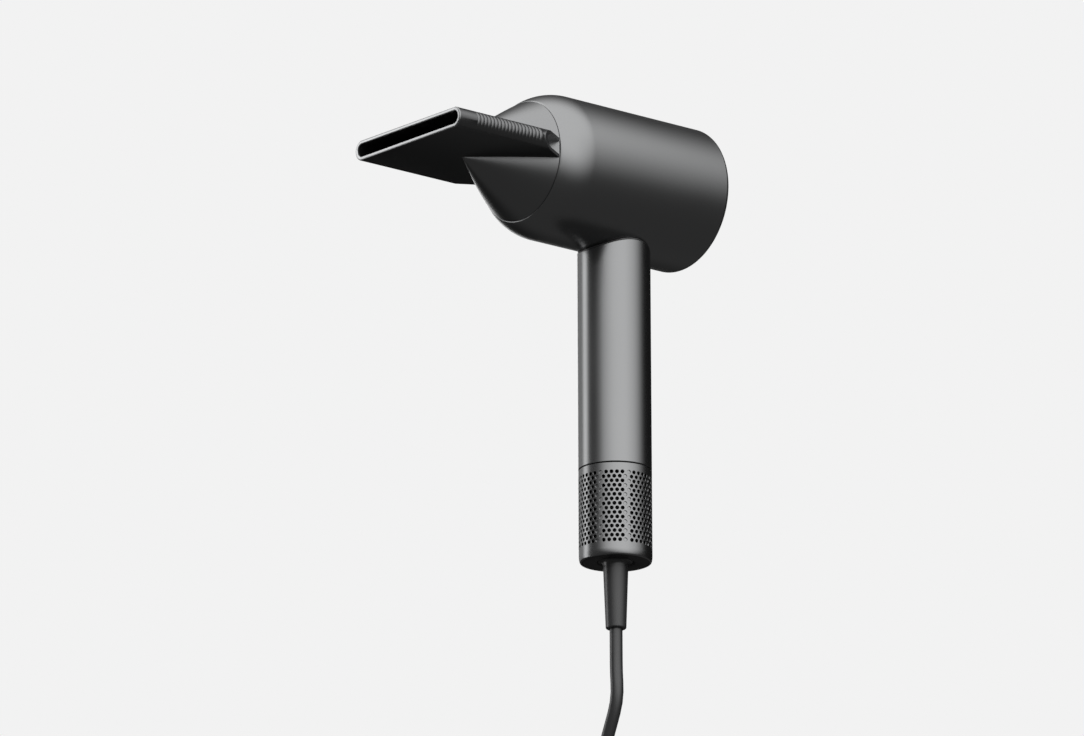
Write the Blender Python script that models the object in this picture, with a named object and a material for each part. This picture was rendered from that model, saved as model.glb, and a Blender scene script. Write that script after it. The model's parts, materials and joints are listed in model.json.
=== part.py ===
"""High-speed hair dryer with its fan motor in the handle, as an assembly of separate solids.

Metres, +Z up. The grip's axis is Z and the origin is the middle of the grip, where a hand or a wall
holder holds the dryer. The barrel lies along Y: the air leaves through the nozzle towards -Y and the
thumb controls face +Y. The mains lead hangs from the bottom of the grip, and its spare length is
folded into a tied hank in line with the grip.
"""

import math

import bmesh
import bpy
from mathutils import Matrix, Vector

MM = 0.001
GAP = 0.3 * MM  # kept between neighbouring pieces

# Grip
GRIP_R = 19.0 * MM
GRIP_WALL = 1.2 * MM
GRIP_BOTTOM = -56.2 * MM
CORE_R = 17.4 * MM
CORE_WALL = 1.6 * MM
CORE_TOP = 74.0 * MM

# Barrel, a cylinder along Y whose front narrows to the seam with the nozzle
BARREL_Z = 98.1 * MM
BARREL_R = 38.2 * MM
BARREL_WALL = 1.8 * MM
BARREL_REAR = 47.5 * MM
REAR_EDGE_R = 2.5 * MM
SEAM_Y = -63.3 * MM
SEAM_R = 31.6 * MM
SHOULDER_Y = -44.5 * MM
SHOULDER_ARC_R = 30.0 * MM
SADDLE_GAP = 1.0 * MM  # between the barrel and the top of the grip tube

# Nozzle: a cone that narrows to a point on each face of a flat blade
TIP_Y = -102.4 * MM
MOUTH_Y = -138.9 * MM
BLADE_HALF_WIDTH = 42.0 * MM
BLADE_HALF_HEIGHT = 5.3 * MM
NOZZLE_WALL = 1.8 * MM
CORNER_CUT_Y = -82.0 * MM  # where each rear corner of the blade starts to be cut away

# Air intake at the bottom of the grip
SLEEVE_TOP = -56.6 * MM
SLEEVE_BOTTOM = -105.5 * MM
SLEEVE_EDGE_R = 2.5 * MM
PANELS = 8
FACETS_IN_PANEL = 4
BASE_HOLE_R = 9.5 * MM

# Mains lead
CORD_D = 6.7 * MM
RELIEF_TOP_R = 6.5 * MM
RELIEF_END_R = 5.3 * MM
RELIEF_END = -140.5 * MM
HANK_TOP = -222.0 * MM
HANK_BEND_R = 3 * CORD_D  # inner turn, to the middle of the cord
HANK_STRAIGHT = 56.2 * MM
HANK_PITCH = 7.1 * MM  # between neighbouring turns

# Thumb controls on the back of the grip
PANEL_HALF_WIDTH = 5.3 * MM
PANEL_LOW, PANEL_HIGH = 3.3 * MM, 50.7 * MM
SLIDER_Z = 37.0 * MM
LAMP_Z = 29.5 * MM
BUTTON_Z = {"temperature_button": 21.5 * MM, "cool_shot_button": 10.5 * MM}
BUTTON_R = 3.4 * MM

COLOURS = {  # base colour, metallic, roughness
    "shell": ((0.12, 0.125, 0.13, 1), 0.9, 0.38),
    "grip": ((0.16, 0.165, 0.17, 1), 0.95, 0.3),
    "nozzle": ((0.05, 0.052, 0.055, 1), 0.6, 0.42),
    "black_plastic": ((0.02, 0.02, 0.021, 1), 0.0, 0.5),
    "rubber": ((0.035, 0.035, 0.037, 1), 0.0, 0.6),
    "steel": ((0.55, 0.56, 0.57, 1), 1.0, 0.3),
    "brass": ((0.7, 0.52, 0.25, 1), 1.0, 0.3),
    "copper": ((0.7, 0.35, 0.2, 1), 1.0, 0.35),
    "mica": ((0.62, 0.58, 0.48, 1), 0.0, 0.6),
    "board": ((0.02, 0.16, 0.07, 1), 0.0, 0.5),
    "lens": ((0.8, 0.8, 0.78, 1), 0.0, 0.2),
    "strap": ((0.02, 0.02, 0.02, 1), 0.0, 0.9),
}

ALONG_Y = Matrix.Rotation(math.radians(-90), 4, "X")  # turns +Z to +Y


# ---------------------------------------------------------------- helpers


def clear_scene():
    for obj in list(bpy.data.objects):
        bpy.data.objects.remove(obj, do_unlink=True)


def material(name):
    found = bpy.data.materials.get(name)
    if found:
        return found
    colour, metallic, roughness = COLOURS[name]
    made = bpy.data.materials.new(name)
    made.use_nodes = True
    made.diffuse_color = colour
    shader = made.node_tree.nodes["Principled BSDF"]
    shader.inputs["Base Color"].default_value = colour
    shader.inputs["Metallic"].default_value = metallic
    shader.inputs["Roughness"].default_value = roughness
    return made


def add_object(name, bm, finish, matrix=None):
    """A mesh object from a bmesh, with its faces pointing out."""
    bmesh.ops.recalc_face_normals(bm, faces=bm.faces)
    mesh = bpy.data.meshes.new(name)
    bm.to_mesh(mesh)
    bm.free()
    if finish:
        mesh.materials.append(material(finish))
        mesh.shade_smooth()
        mesh.set_sharp_from_angle(angle=math.radians(35))
    obj = bpy.data.objects.new(name, mesh)
    bpy.context.scene.collection.objects.link(obj)
    if matrix:
        obj.matrix_world = matrix
    return obj


def as_cutter(obj):
    obj.hide_render = True
    obj.display_type = "WIRE"
    return obj


def boolean(obj, other, operation="DIFFERENCE"):
    modifier = obj.modifiers.new(f"{operation.lower()} {other.name}", "BOOLEAN")
    modifier.operation = operation
    modifier.object = as_cutter(other)
    modifier.solver = "EXACT"
    return obj


def arc(centre, radius, start_deg, end_deg, steps):
    """Points of an arc as (across, along) pairs, both ends included."""
    angles = [math.radians(start_deg + (end_deg - start_deg) * i / steps) for i in range(steps + 1)]
    return [(centre[0] + radius * math.cos(a), centre[1] + radius * math.sin(a)) for a in angles]


def turned(name, outline, finish, segments=40, centre=(0, 0, 0), along_y=False):
    """A solid of revolution about its object's own Z. outline is a closed loop of (radius, height)."""
    bm = bmesh.new()
    verts = [bm.verts.new((r, 0, h)) for r, h in outline]
    edges = []
    for a, b in zip(verts, verts[1:] + verts[:1]):
        if a.co.x > 0 or b.co.x > 0:
            edges.append(bm.edges.new((a, b)))
    bmesh.ops.spin(
        bm, geom=verts + edges, cent=(0, 0, 0), axis=(0, 0, 1), angle=2 * math.pi, steps=segments, use_merge=True
    )
    bmesh.ops.remove_doubles(bm, verts=bm.verts, dist=1e-6)
    turn = ALONG_Y if along_y else Matrix.Identity(4)
    return add_object(name, bm, finish, Matrix.Translation(centre) @ turn)


def ring(name, inner, outer, low, high, finish, **options):
    return turned(name, [(inner, low), (outer, low), (outer, high), (inner, high)], finish, **options)


def disc(name, radius, low, high, finish, **options):
    return turned(name, [(0, low), (radius, low), (radius, high), (0, high)], finish, **options)


def block(name, place, size, finish=None):
    """A block of a given size round its object's origin, placed by a matrix."""
    bm = bmesh.new()
    bmesh.ops.create_cube(bm, size=1, matrix=Matrix.Diagonal((*size, 1)))
    return add_object(name, bm, finish, place)


def box(name, low, high, finish):
    low, high = Vector(low), Vector(high)
    return block(name, Matrix.Translation((low + high) / 2), high - low, finish)


def prism(name, outline, low, high, finish, matrix=None):
    """A closed outline of (x, y) pairs extruded from low to high along z."""
    bm = bmesh.new()
    face = bm.faces.new([bm.verts.new((x, y, low)) for x, y in outline])
    made = bmesh.ops.extrude_face_region(bm, geom=[face])["geom"]
    raised = [v for v in made if isinstance(v, bmesh.types.BMVert)]
    bmesh.ops.translate(bm, verts=raised, vec=(0, 0, high - low))
    return add_object(name, bm, finish, matrix)


def rounded_rectangle(half_x, half_y, radius, steps=4):
    outline = []
    for sx, sy, start in ((1, 1, 0), (-1, 1, 90), (-1, -1, 180), (1, -1, 270)):
        corner = (sx * (half_x - radius), sy * (half_y - radius))
        outline += arc(corner, radius, start, start + 90, steps)
    distinct = [outline[0]]
    for point in outline[1:]:
        if math.dist(point, distinct[-1]) > 1e-6:
            distinct.append(point)
    return distinct if math.dist(distinct[0], distinct[-1]) > 1e-6 else distinct[:-1]


def smooth_route(points, count):
    """count points along a Catmull-Rom curve through the given points."""
    knots = [Vector(p) for p in points]
    knots = [2 * knots[0] - knots[1], *knots, 2 * knots[-1] - knots[-2]]
    spans = len(knots) - 3
    route = []
    for i in range(count):
        at = spans * i / (count - 1)
        k = min(int(at), spans - 1)
        t = at - k
        p0, p1, p2, p3 = knots[k : k + 4]
        route.append(
            0.5 * (2 * p1 + (p2 - p0) * t + (2 * p0 - 5 * p1 + 4 * p2 - p3) * t**2 + (3 * p1 - p0 - 3 * p2 + p3) * t**3)
        )
    return route


def tube(name, route, radius, finish, sides_level=2):
    """A round lead along a route, as a curve with a bevel and filled caps."""
    curve = bpy.data.curves.new(name, "CURVE")
    curve.dimensions = "3D"
    curve.bevel_depth = radius
    curve.bevel_resolution = sides_level
    curve.use_fill_caps = True
    spline = curve.splines.new("POLY")
    spline.points.add(len(route) - 1)
    for point, place in zip(spline.points, route):
        point.co = (*place, 1)
    curve.materials.append(material(finish))
    obj = bpy.data.objects.new(name, curve)
    bpy.context.scene.collection.objects.link(obj)
    return obj


def ride_on_joint(name, place, pieces):
    """Parents the pieces that move together to an empty on their joint's axis."""
    empty = bpy.data.objects.new(name, None)
    empty.location = place
    bpy.context.scene.collection.objects.link(empty)
    for piece in pieces:
        piece.parent = empty
        piece.matrix_parent_inverse = Matrix.Translation(place).inverted()


def barrel_ring(name, inner, outer, front, rear, finish, segments=24):
    return ring(name, inner, outer, front, rear, finish, segments=segments, centre=(0, 0, BARREL_Z), along_y=True)


def barrel_disc(name, radius, front, rear, finish, segments=40):
    return disc(name, radius, front, rear, finish, segments=segments, centre=(0, 0, BARREL_Z), along_y=True)


# ---------------------------------------------------------------- barrel


def shoulder(inset, front):
    """The barrel's narrowing front as (radius, y) points, from the cylinder to the plane y = front."""
    radius = SHOULDER_ARC_R - inset
    centre = (BARREL_R - SHOULDER_ARC_R, SHOULDER_Y)
    end = -math.degrees(math.asin((SHOULDER_Y - front) / radius))
    return arc(centre, radius, 0, end, 5)


def make_barrel():
    front = SEAM_Y + GAP
    inner_r = BARREL_R - BARREL_WALL
    opening_r = BARREL_R - 4 * MM
    rear_lip = 1.8 * MM
    edge = arc((BARREL_R - REAR_EDGE_R, BARREL_REAR - REAR_EDGE_R), REAR_EDGE_R, 90, 0, 3)
    inside = [(inner_r, BARREL_REAR - rear_lip), (opening_r, BARREL_REAR - rear_lip), (opening_r, BARREL_REAR)]
    outline = edge + shoulder(0, front) + shoulder(BARREL_WALL, front)[::-1] + inside
    shell = turned("barrel_shell", outline, "shell", segments=44, centre=(0, 0, BARREL_Z), along_y=True)
    hole = disc("cut_for_core", CORE_R + GAP, 40 * MM, BARREL_Z, None, segments=40)
    boolean(shell, hole)

    rim_r = opening_r - GAP
    cover = [
        (0, BARREL_REAR - 2.2 * MM),
        (rim_r - 1.6 * MM, BARREL_REAR - 2.2 * MM),
        (rim_r - 1.6 * MM, BARREL_REAR - 7 * MM),
        (rim_r, BARREL_REAR - 7 * MM),
        (rim_r, BARREL_REAR),
        (20.5 * MM, BARREL_REAR),
        (19.5 * MM, BARREL_REAR - 0.8 * MM),
        (0, BARREL_REAR - 0.8 * MM),
    ]
    turned("rear_cover", cover, "shell", segments=40, centre=(0, 0, BARREL_Z), along_y=True)


def make_outlet():
    """The seat for nozzles, its steel ring, the grille and the ion needle."""
    barrel_ring("outlet_ring", 24.6 * MM, 29.3 * MM, -58 * MM, -52 * MM, "black_plastic")
    barrel_ring("outlet_magnet_ring", 25.5 * MM, 29.0 * MM, -51.6 * MM, -49.6 * MM, "steel", segments=24)
    front, rear = -57.2 * MM, -55.2 * MM
    grille = barrel_ring("outlet_grille", 23.0 * MM, 24.2 * MM, front, rear, "black_plastic", segments=24)
    for i, middle in enumerate((6.0, 15.0)):
        hoop = barrel_ring(f"grille_hoop_{i}", (middle - 0.6) * MM, (middle + 0.6) * MM, front, rear, None, segments=20)
        boolean(grille, hoop, "UNION")
    spokes, start, end = 4, 6.0 * MM, 23.6 * MM
    for i in range(spokes):
        turn = Matrix.Rotation(2 * math.pi * i / spokes, 4, "Y") @ Matrix.Translation(((start + end) / 2, 0, 0))
        place = Matrix.Translation((0, (front + rear) / 2, BARREL_Z)) @ turn
        boolean(grille, block(f"grille_spoke_{i}", place, (end - start, rear - front, 1.0 * MM)), "UNION")
    barrel_disc("ion_needle", 0.7 * MM, -59.5 * MM, -53.5 * MM, "steel", segments=10)


def make_heater():
    front, rear = -54.5 * MM, -22.0 * MM
    barrel_ring("heater_tube", 23.0 * MM, 24.2 * MM, front, rear, "mica", segments=24)
    barrel_ring("heater_bulkhead", 24.6 * MM, 35.9 * MM, -25.4 * MM, -23.9 * MM, "black_plastic", segments=24)
    half, thick = 18.5 * MM, 0.6 * MM
    cross = box("heater_frame", (-half, -52.5 * MM, BARREL_Z - thick), (half, -24 * MM, BARREL_Z + thick), "mica")
    other = box("heater_frame_upright", (-thick, -52 * MM, BARREL_Z - half), (thick, -23.5 * MM, BARREL_Z + half), None)
    boolean(cross, other, "UNION")

    turns, per_turn, coil_r = 6, 12, 20.4 * MM
    start, end = -50 * MM, -26 * MM
    route = []
    for i in range(turns * per_turn + 1):
        angle = 2 * math.pi * i / per_turn
        along = start + (end - start) * i / (turns * per_turn)
        route.append((coil_r * math.cos(angle), along, BARREL_Z + coil_r * math.sin(angle)))
    tube("heater_coil", route, 0.7 * MM, "steel", sides_level=0)

    box("thermal_cutout", (3 * MM, -40 * MM, BARREL_Z + 1.2 * MM), (11 * MM, -30 * MM, BARREL_Z + 5 * MM), "steel")


def make_rear_chamber():
    """The wall behind the air turn and the electronics between it and the rear cover."""
    dish = [
        (0, 23.5 * MM), (24 * MM, 23.5 * MM), (34 * MM, 21.9 * MM), (35.9 * MM, 21.9 * MM),
        (35.9 * MM, 23.4 * MM), (34.4 * MM, 23.4 * MM), (24.4 * MM, 25 * MM), (0, 25 * MM),
    ]
    guide = turned("air_turn_wall", dish, "black_plastic", segments=24, centre=(0, 0, BARREL_Z), along_y=True)
    hole = disc("cut_for_lead", 2.2 * MM, 15 * MM, 30 * MM, None, segments=12, centre=(0, 0, 80 * MM), along_y=True)
    boolean(guide, hole)
    half = 23.5 * MM
    box("control_board", (-half, 28.4 * MM, BARREL_Z - half), (half, 29.9 * MM, BARREL_Z + half), "board")
    disc("storage_capacitor", 7.5 * MM, 30.2 * MM, 43 * MM, "black_plastic", segments=24,
         centre=(-11 * MM, 0, BARREL_Z + 8 * MM), along_y=True)
    box("ion_generator", (2 * MM, 30.2 * MM, BARREL_Z - 18 * MM), (20 * MM, 41 * MM, BARREL_Z - 4 * MM), "rubber")
    box("power_relay", (3 * MM, 30.2 * MM, BARREL_Z + 3 * MM), (18 * MM, 42 * MM, BARREL_Z + 15 * MM), "black_plastic")
    for i, (sx, sz) in enumerate(((1, 1), (-1, -1)), 1):
        disc(f"board_screw_{i}", 2.2 * MM, 30.2 * MM, 31.8 * MM, "steel", segments=12,
             centre=(sx * 20.5 * MM, 0, BARREL_Z + sz * 20.5 * MM), along_y=True)


# ---------------------------------------------------------------- grip


def facing_rear(height):
    """Stands an outline up across the back of the grip at a height, with its thickness along -Y."""
    return Matrix.Translation((0, 0, height)) @ Matrix.Rotation(math.pi / 2, 4, "X")


def window(name, inset):
    """The panel's opening in the back of the grip, as a block that reaches out past the tube."""
    half_x = PANEL_HALF_WIDTH + GAP - inset
    half_z = (PANEL_HIGH - PANEL_LOW) / 2 + GAP - inset
    middle = (PANEL_HIGH + PANEL_LOW) / 2
    outline = rounded_rectangle(half_x, half_z, 3 * MM, 3)
    return prism(name, outline, -26 * MM, -12 * MM, None, facing_rear(middle))


def saddle_block(name, radius):
    """A cylinder along the barrel's axis that shapes whatever stands against the barrel."""
    return barrel_disc(name, radius, -60 * MM, 60 * MM, None, segments=72)


def make_grip():
    tube_top = BARREL_Z - 20 * MM
    grip = ring("grip_tube", GRIP_R - GRIP_WALL, GRIP_R, GRIP_BOTTOM, tube_top, "grip", segments=48)
    boolean(grip, saddle_block("saddle_cut", BARREL_R + SADDLE_GAP))
    boolean(grip, window("window_in_tube", 0))

    core = ring("grip_core", CORE_R - CORE_WALL, CORE_R, -56 * MM, CORE_TOP, "black_plastic", segments=40)
    boolean(core, window("window_in_core", 0))

    gasket = ring("saddle_gasket", 17.9 * MM, 18.6 * MM, 50 * MM, tube_top, "rubber", segments=40)
    boolean(gasket, saddle_block("gasket_foot", BARREL_R + SADDLE_GAP - 0.2 * MM), "INTERSECT")
    boolean(gasket, saddle_block("gasket_top", BARREL_R + 0.2 * MM))
    ring("core_lock_ring", CORE_R + GAP, 20.8 * MM, 69.5 * MM, 73 * MM, "black_plastic", segments=24)


def make_controls():
    low, high = PANEL_LOW - 2 * MM, PANEL_HIGH + 2 * MM
    panel = ring("control_panel", 15.9 * MM, GRIP_R, low, high, "black_plastic", segments=48)
    boolean(panel, window("panel_shape", GAP), "INTERSECT")

    slot = rounded_rectangle(2.5 * MM, 6.8 * MM, 2.4 * MM, 3)
    boolean(panel, prism("slider_slot", slot, -30 * MM, -10 * MM, None, facing_rear(SLIDER_Z + 3 * MM)))
    slot = rounded_rectangle(2.6 * MM, 0.9 * MM, 0.85 * MM, 3)
    boolean(panel, prism("lamp_slot", slot, -30 * MM, -10 * MM, None, facing_rear(LAMP_Z)))
    lens = rounded_rectangle(2.3 * MM, 0.6 * MM, 0.55 * MM, 3)
    prism("indicator_lens", lens, -18.6 * MM, -15 * MM, "lens", facing_rear(LAMP_Z))

    knob = rounded_rectangle(2.1 * MM, 3.4 * MM, 2.0 * MM, 3)
    prism("power_slider", knob, -20.0 * MM, -14.9 * MM, "grip", facing_rear(SLIDER_Z))
    for name, height in BUTTON_Z.items():
        hole = disc(f"{name}_hole", BUTTON_R + 0.35 * MM, 10 * MM, 30 * MM, None, segments=24,
                    centre=(0, 0, height), along_y=True)
        boolean(panel, hole)
        side = [(BUTTON_R, 14.8 * MM), (BUTTON_R, 19.2 * MM), (BUTTON_R - 0.5 * MM, 19.6 * MM)]
        outline = [(0, 14.8 * MM), *side, (0, 19.6 * MM)]
        turned(name, outline, "grip", segments=24, centre=(0, 0, height), along_y=True)
        disc(name.replace("button", "dome"), 2.4 * MM, 12.4 * MM, 13.3 * MM, "steel", segments=14,
             centre=(0, 0, height), along_y=True)
    box("button_board", (-7.5 * MM, 10.8 * MM, 4 * MM), (7.5 * MM, 12.1 * MM, 50 * MM), "board")
    low, high = SLIDER_Z - 1.5 * MM, SLIDER_Z + 7.5 * MM
    box("slide_switch", (-3 * MM, 12.4 * MM, low), (3 * MM, 14.5 * MM, high), "steel")


# ---------------------------------------------------------------- fan motor


def make_motor():
    housing = ring("motor_housing", 11.9 * MM, 13.2 * MM, -50 * MM, -9 * MM, "black_plastic", segments=24)
    hub = ring("motor_hub", 8.5 * MM, 9.7 * MM, -32 * MM, -10 * MM, None, segments=24)
    floor = ring("motor_hub_floor", 3.1 * MM, 9.0 * MM, -32 * MM, -29.5 * MM, None, segments=24)
    boolean(housing, hub, "UNION")
    boolean(housing, floor, "UNION")
    vanes = 7
    for i in range(vanes):
        place = Matrix.Rotation(2 * math.pi * i / vanes, 4, "Z") @ Matrix.Translation((10.8 * MM, 0, -21 * MM))
        place = place @ Matrix.Rotation(math.radians(12), 4, "X")
        boolean(housing, block(f"guide_vane_{i}", place, (3.0 * MM, 0.8 * MM, 16 * MM)), "UNION")

    for name, low in (("motor_mount_lower", -48 * MM), ("motor_mount_upper", -17 * MM)):
        mount = ring(name, 13.5 * MM, 15.5 * MM, low, low + 5 * MM, "rubber", segments=24)
        notch = box(f"{name}_notch", (-1.6 * MM, -17 * MM, low - MM), (1.6 * MM, -12 * MM, low + 6 * MM), None)
        boolean(mount, notch)

    ring("motor_end_cap", 3.1 * MM, 8.2 * MM, -12.3 * MM, -10.3 * MM, "black_plastic", segments=24)
    ring("bearing_lower", 1.6 * MM, 2.8 * MM, -32 * MM, -29.7 * MM, "steel", segments=16)
    ring("bearing_upper", 1.6 * MM, 2.8 * MM, -12.4 * MM, -10.2 * MM, "steel", segments=16)
    ring("stator_core", 4.8 * MM, 8.2 * MM, -26 * MM, -17 * MM, "steel", segments=24)
    ring("stator_winding_lower", 5.0 * MM, 8.0 * MM, -28.8 * MM, -26.3 * MM, "copper", segments=20)
    ring("stator_winding_upper", 5.0 * MM, 8.0 * MM, -16.7 * MM, -14.2 * MM, "copper", segments=20)

    shaft = disc("motor_shaft", 1.25 * MM, -46 * MM, -9 * MM, "steel", segments=12)
    magnet = ring("rotor_magnet", 1.6 * MM, 4.3 * MM, -26 * MM, -17 * MM, "steel", segments=20)
    profile = [
        (1.6 * MM, -45 * MM), (3.2 * MM, -44.6 * MM), (5.2 * MM, -42 * MM), (6.4 * MM, -38 * MM),
        (6.8 * MM, -34 * MM), (1.6 * MM, -34 * MM),
    ]
    impeller = turned("impeller", profile, "steel", segments=24)
    blades = 9
    for i in range(blades):
        place = Matrix.Rotation(2 * math.pi * i / blades, 4, "Z") @ Matrix.Translation((8.2 * MM, 0, -38.5 * MM))
        place = place @ Matrix.Rotation(math.radians(48), 4, "X")
        boolean(impeller, block(f"impeller_blade_{i}", place, (6.2 * MM, 0.6 * MM, 8 * MM)), "UNION")
    ride_on_joint("motor_spin_axis", (0, 0, -21.5 * MM), (shaft, magnet, impeller))


def make_supply_lead():
    route = [
        (0, 0, -98.4), (0, -1, -92), (0, -4, -80), (0, -9, -66), (0, -13.3, -55), (0, -14.6, -46), (0, -14.6, 0),
        (0, -14.5, 45), (0, -14.4, 62), (0, -11, 75), (0, 0, 80), (0, 12, 80.2), (0, 27.6, 80),
    ]
    tube("supply_lead", smooth_route([[c * MM for c in p] for p in route], 34), 0.9 * MM, "rubber", sides_level=1)


# ---------------------------------------------------------------- air intake


def make_intake():
    inner = GRIP_R - GRIP_WALL
    lip = inner - 1.6 * MM
    edge = arc((GRIP_R - SLEEVE_EDGE_R, SLEEVE_BOTTOM + SLEEVE_EDGE_R), SLEEVE_EDGE_R, 270, 360, 2)
    outline = [(lip, SLEEVE_BOTTOM), *edge, (GRIP_R, SLEEVE_TOP), (inner, SLEEVE_TOP),
               (inner, SLEEVE_BOTTOM + 2.2 * MM), (lip, SLEEVE_BOTTOM + 2.2 * MM)]
    sleeve = turned("intake_sleeve", outline, "grip", segments=PANELS * FACETS_IN_PANEL)
    make_sleeve_holes(sleeve)
    base = ring("intake_base", BASE_HOLE_R, lip - GAP, SLEEVE_BOTTOM, SLEEVE_BOTTOM + 1.5 * MM, "black_plastic")
    ride_on_joint("intake_cover_axis", (0, 0, SLEEVE_BOTTOM), (sleeve, base))

    cage_r, cage_in = 17.4 * MM, 15.9 * MM
    cage = ring("filter_cage", cage_in, cage_r, -60 * MM, -56.4 * MM, "black_plastic", segments=24)
    foot = ring("cage_foot", cage_in - 1 * MM, cage_r - 0.4 * MM, -102.9 * MM, -100.4 * MM, None, segments=24)
    boolean(cage, foot, "UNION")
    for i in range(PANELS):
        turn = Matrix.Rotation(2 * math.pi * (i + 0.5) / PANELS, 4, "Z")
        place = turn @ Matrix.Translation((16.5 * MM, 0, -80.3 * MM))
        boolean(cage, block(f"cage_rib_{i}", place, (1.5 * MM, 2.4 * MM, 43 * MM)), "UNION")
    ring("filter_mesh", 14.9 * MM, 15.4 * MM, -100 * MM, -57 * MM, "steel", segments=24)

    floor = [
        (RELIEF_TOP_R + GAP, -104.9 * MM), (BASE_HOLE_R - GAP, -104.9 * MM), (BASE_HOLE_R - GAP, -103.0 * MM),
        (14.5 * MM, -103.0 * MM), (14.5 * MM, -100.4 * MM), (RELIEF_TOP_R + GAP, -100.4 * MM),
    ]
    turned("intake_floor", floor, "black_plastic", segments=24)


def make_sleeve_holes(sleeve):
    """The sleeve's panels of holes at a coarse pitch, each hole in the middle of one of its flat facets."""
    rows = 5
    facet = 2 * math.pi / (PANELS * FACETS_IN_PANEL)
    for row in range(rows):
        height = SLEEVE_TOP - 8 * MM - row * 8 * MM
        bm = bmesh.new()
        for k in range(row % 2, PANELS * FACETS_IN_PANEL, 2):
            place = Matrix.Rotation(facet * (k + 0.5), 4, "Z") @ Matrix.Translation((18.4 * MM, 0, height))
            bmesh.ops.create_cube(bm, size=1, matrix=place @ Matrix.Diagonal((3 * MM, 2.2 * MM, 4.4 * MM, 1)))
        boolean(sleeve, add_object(f"hole_row_{row}", bm, None))


# ---------------------------------------------------------------- nozzle


def nozzle_cone(name, base_r, base_y, tip_y, tip_height, finish, segments=48):
    """The hull of a circle and an upright edge: a cone to each end of the edge."""
    bm = bmesh.new()
    rim = []
    for i in range(segments):
        angle = 2 * math.pi * i / segments
        rim.append(bm.verts.new((base_r * math.cos(angle), 0, base_r * math.sin(angle))))
    top = bm.verts.new((0, tip_y - base_y, tip_height))
    bottom = bm.verts.new((0, tip_y - base_y, -tip_height))
    for i in range(segments):
        bm.faces.new((rim[i], rim[(i + 1) % segments], top if i < segments // 2 else bottom))
    bm.faces.new((rim[0], top, bottom))
    bm.faces.new((rim[segments // 2], bottom, top))
    bm.faces.new(rim)
    return add_object(name, bm, finish, Matrix.Translation((0, base_y, BARREL_Z)))


def flat_tube_block(name, half_width, half_height, front, rear):
    """A block along Y with flat faces and fully rounded sides."""
    outline = rounded_rectangle(half_width, half_height, half_height - 0.01 * MM, 6)
    turn = Matrix.Translation((0, 0, BARREL_Z)) @ Matrix.Rotation(math.pi / 2, 4, "X")
    return prism(name, outline, -rear, -front, None, turn)


def plan_block(name, outline, half_height=20 * MM):
    """An upright block whose plan is the given outline."""
    return prism(name, outline, BARREL_Z - half_height, BARREL_Z + half_height, None)


def make_nozzle():
    shell = nozzle_cone("nozzle_shell", SEAM_R, SEAM_Y, TIP_Y, BLADE_HALF_HEIGHT, "nozzle")
    corner_x = math.sqrt(SEAM_R**2 - BLADE_HALF_HEIGHT**2) - 0.05 * MM
    rear = SEAM_Y - 0.05 * MM
    blade = flat_tube_block("blade", BLADE_HALF_WIDTH, BLADE_HALF_HEIGHT - 0.02 * MM, MOUTH_Y, SEAM_Y + 5 * MM)
    far = 60 * MM
    corner_end = CORNER_CUT_Y - 29 * MM
    plan = [
        (-far, MOUTH_Y - far), (far, MOUTH_Y - far), (far, corner_end), (BLADE_HALF_WIDTH, CORNER_CUT_Y),
        (corner_x, rear), (-corner_x, rear), (-BLADE_HALF_WIDTH, CORNER_CUT_Y), (-far, corner_end),
    ]
    boolean(blade, plan_block("blade_plan", plan), "INTERSECT")
    boolean(shell, blade, "UNION")

    inner_half = BLADE_HALF_WIDTH - NOZZLE_WALL
    inner_height = BLADE_HALF_HEIGHT - NOZZLE_WALL
    hollow_rear, hollow_tip = SEAM_Y + 0.5 * MM, TIP_Y + 3.2 * MM
    hollow = nozzle_cone("cone_hollow", SEAM_R - 1.6 * MM, hollow_rear, hollow_tip, inner_height - 0.1 * MM, None)
    boolean(shell, hollow)

    duct = flat_tube_block("duct", inner_half, inner_height, MOUTH_Y - 5 * MM, SEAM_Y)
    throat, wide = 24.0 * MM, 26.2 * MM
    duct_plan = [
        (-far, MOUTH_Y - far), (far, MOUTH_Y - far), (far, -97 * MM), (inner_half, -97 * MM), (throat, -71.2 * MM),
        (wide, -68.4 * MM), (-wide, -68.4 * MM), (-throat, -71.2 * MM), (-inner_half, -97 * MM), (-far, -97 * MM),
    ]
    boolean(duct, plan_block("duct_plan", duct_plan), "INTERSECT")
    boolean(shell, duct)

    for side, label in ((1, "right"), (-1, "left")):
        pocket = flat_tube_block(f"pocket_{label}", inner_half, inner_height, -110 * MM, SEAM_Y + 8 * MM)
        inner_edge = [(corner_x, SEAM_Y), (25.8 * MM, -70.2 * MM), (inner_half, -93.5 * MM)]
        outline = [(side * x, y) for x, y in (*inner_edge, (far, -93.5 * MM), (far, SEAM_Y))]
        boolean(pocket, plan_block(f"pocket_{label}_plan", outline), "INTERSECT")
        boolean(shell, pocket)

    collar = barrel_ring("nozzle_collar", 26.4 * MM, 29.2 * MM, -63.4 * MM, -61.0 * MM, "black_plastic")
    magnet = barrel_ring("nozzle_magnet_ring", 26.6 * MM, 28.9 * MM, -60.7 * MM, -58.4 * MM, "steel")
    ride_on_joint("nozzle_axis", (0, SEAM_Y, BARREL_Z), (shell, collar, magnet))


# ---------------------------------------------------------------- mains lead


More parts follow.
